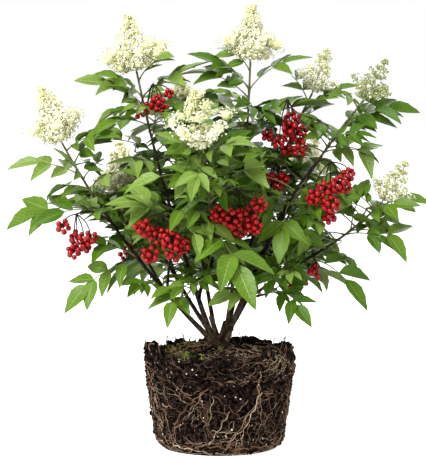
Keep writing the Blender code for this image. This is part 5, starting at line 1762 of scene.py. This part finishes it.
    def seedlings(self) -> Meshwork:
        """Seedlings by the rim and the stems: a short stalk, and round leaves that tilt outward."""
        rng = dice("seedlings")
        homes = np.array([[-0.071, -0.098, 0.015], [-0.066, -0.122, 0.012], [0.004, -0.040, 0.008],
                          [-0.034, -0.128, 0.008], [-0.060, 0.030, 0.018]])
        which = rng.choice(len(homes), 26, p=[0.38, 0.24, 0.16, 0.08, 0.14])
        flat = homes[which, :2] + rng.normal(0.0, 0.6, (len(which), 2)) * homes[which, 2:3]
        radius = np.minimum(np.linalg.norm(flat, axis=1), self.RIM * 0.985)
        start = self.skin(np.arctan2(flat[:, 1], flat[:, 0]), radius, -0.001)
        lean = unit(rng.normal(0.0, 0.5, start.shape) + [0.0, -0.15, 1.0])
        end = start + lean * rng.uniform(0.004, 0.010, (len(start), 1))
        paths = bent(start, (start + end) / 2.0, end, 4)
        work = Meshwork("seedlings").add(*sweep(paths, np.full(4, 0.0005), 5))
        each = 4
        owner = np.repeat(np.arange(len(end)), each)
        bearing = np.tile(np.arange(each) * 90.0, len(end)) + rng.uniform(0.0, 90.0, len(end))[owner]
        along = heading(bearing, rng.uniform(-5.0, 45.0, len(owner)))
        size = rng.uniform(0.0016, 0.0033, len(owner))
        face = unit(np.cross(np.cross(along, [0.0, 0.0, 1.0]), along))
        turns = np.stack([along, np.cross(face, along), face], -1)
        ring = np.arange(10) * 2.0 * np.pi / 10
        rim = np.stack([1.0 + np.cos(ring), 0.85 * np.sin(ring), 0.12 * np.abs(np.sin(ring))], -1)
        blade = np.concatenate([rim, [[1.0, 0.0, 0.0]], [[1.0, 0.0, -0.16]]])
        return work.add(copies(blade, end[owner], turns, size), tube_faces(1, 10, inward=True)[1:])

    def dress(self, palette: Palette) -> list[bpy.types.Object]:
        """Soil, roots, crumbs, clods on the rim, white specks, moss and seedlings as seven pieces."""
        tints = [ROOTS[tint].build(palette) for tint in RootTint]
        crumb = CRUMB.build(palette)
        rng = dice("scatter")
        over = self.rim_run * np.sqrt(rng.uniform(0.03, 0.97, 760))
        beside = rng.uniform(self.rim_run, self.foot_run - 0.003, 560)
        crumbs = self.lumps("crumbs", np.concatenate([over, beside]), (0.0012, 0.0058), ball_shape(4, 6))
        edge = self.rim_run + rng.normal(-0.006, 0.006, 190)
        clods = self.lumps("rim_clods", edge, (0.0018, 0.0145), ball_shape(6, 9), 2.6, self.CLOD_MIDDLES)
        spread = np.concatenate([self.rim_run * np.sqrt(rng.uniform(0.05, 0.95, 60)),
                                 rng.uniform(self.rim_run, self.foot_run - 0.003, 300)])
        specks = self.lumps("white_specks", spread, (0.0005, 0.0021), ball_shape(3, 5))
        return [
            self.soil().piece([SOIL.build(palette)], 180.0),
            self.roots().piece(tints, 60.0),
            crumbs.piece([crumb], 60.0),
            clods.piece([crumb], 60.0),
            specks.piece([PERLITE.build(palette)], 60.0),
            self.moss().piece([MOSS.build(palette)], 60.0),
            self.seedlings().piece([SPROUT.build(palette)], 60.0),
        ]


class Studio:
    """Camera, floor and soft lights."""

    CAMERA = (-0.013, -3.5, 0.70)
    TARGET = (-0.013, 0.0, 0.432)
    METRES_PER_PIXEL = 0.002
    FRAME_HEIGHT = 463
    FLOOR = 60.0
    FLOOR_GLOW = 0.78
    SENSOR = 36.0
    SKY_LIGHT = 0.60

    def build(self) -> None:
        """Place everything that isn't the shrub."""
        scene = bpy.context.scene
        lens = bpy.data.cameras.new("camera")
        lens.sensor_fit = "VERTICAL"
        lens.sensor_height = self.SENSOR
        lens.lens = self.SENSOR * -self.CAMERA[1] / (self.FRAME_HEIGHT * self.METRES_PER_PIXEL)
        camera = bpy.data.objects.new("camera", lens)
        camera.location = self.CAMERA
        down = math.atan2(self.CAMERA[2] - self.TARGET[2], self.TARGET[1] - self.CAMERA[1])
        camera.rotation_euler = (math.pi / 2.0 - down, 0.0, 0.0)
        scene.collection.objects.link(camera)
        scene.camera = camera
        self.floor()
        self.lamp("key", (-1.6, -2.2, 2.8), 1.5, 184.0)
        self.lamp("fill", (2.3, -1.8, 1.5), 2.6, 28.0)
        self.lamp("side", (-2.5, -1.3, 0.9), 2.0, 26.0)
        self.lamp("back", (0.4, 2.4, 2.2), 2.4, 60.0)
        scene.world = self.world()
        scene.view_settings.view_transform = "Standard"

    def world(self) -> bpy.types.World:
        """White all round as the camera sees it, and a softer white as a light."""
        world = bpy.data.worlds.new("studio")
        world.use_nodes = True
        wiring = Wiring(world.node_tree)
        light, shown = (wiring.node("Background", {"Color": (1.0, 1.0, 1.0), "Strength": strength})[0]
                        for strength in (self.SKY_LIGHT, 1.0))
        ray = wiring.node("LightPath")["Is Camera Ray"]
        both = wiring.node("MixShader", {0: ray, 1: light, 2: shown})[0]
        wiring.feed(world.node_tree.nodes["World Output"], {"Surface": both})
        return world

    def floor(self) -> None:
        """A pale floor, as a square sheet just under the root ball."""
        half = self.FLOOR / 2.0
        mesh = bpy.data.meshes.new("floor")
        corners = [(-half, -half, -0.0005), (half, -half, -0.0005), (half, half, -0.0005), (-half, half, -0.0005)]
        mesh.from_pydata(corners, [], [(0, 1, 2, 3)])
        material, wiring, shader = new_material("floor", 0.9, 0.0)
        glow = wiring.math("MULTIPLY", wiring.node("LightPath")["Is Camera Ray"], self.FLOOR_GLOW)
        wiring.feed(shader, {"Base Color": (0.80, 0.80, 0.80), "Emission Color": (1.0, 1.0, 1.0),
                             "Emission Strength": glow})
        mesh.materials.append(material)
        floor = bpy.data.objects.new("floor", mesh)
        bpy.context.scene.collection.objects.link(floor)

    def lamp(self, name: str, place: tuple, size: float, watts: float) -> None:
        """A square soft light that looks at the middle of the shrub."""
        light = bpy.data.lights.new(name, "AREA")
        light.size = size
        light.energy = watts
        lamp = bpy.data.objects.new(name, light)
        lamp.location = place
        way = np.array([0.0, 0.0, 0.45]) - place
        level = math.hypot(way[0], way[1])
        lamp.rotation_euler = (math.atan2(level, -way[2]), 0.0, math.atan2(-way[0], way[1]))
        bpy.context.scene.collection.objects.link(lamp)


def main() -> None:
    """Build and dress every piece of the shrub, then the studio."""
    logging.basicConfig(level=logging.INFO, format="%(message)s")
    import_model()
    palette = Palette()
    paths: dict[str, CanePath] = {}
    for cane in CANES:
        paths[cane.name] = CanePath(cane, paths)
    foliage, twigs, blossom, berries = Foliage(Clearings(paths)), Twigs(), Blossom(), Berries()
    for path in paths.values():
        foliage.grow(path)
        twigs.grow(path, foliage)
        berries.grow(path)
        if path.cane.bloom:
            blossom.grow(path)
    ball = RootBall().dress(palette)
    wood = Wood().dress(paths, twigs, palette)
    leaves = foliage.dress(palette)
    flowers = blossom.dress(palette)
    fruit = berries.dress(palette)
    slots = ((ball, "soil"), (wood, "bark"), (leaves, "foliage"), (flowers, "blossom"), (fruit, "berry"))
    for pieces, slot in slots:
        for piece in pieces:
            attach(piece, BODY)
    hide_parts("root_ball")
    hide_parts("root_crown", *["bough_" + name for name in paths])
    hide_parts(*["foliage_" + name for name in paths])
    Studio().build()


if __name__ == "__main__":
    main()
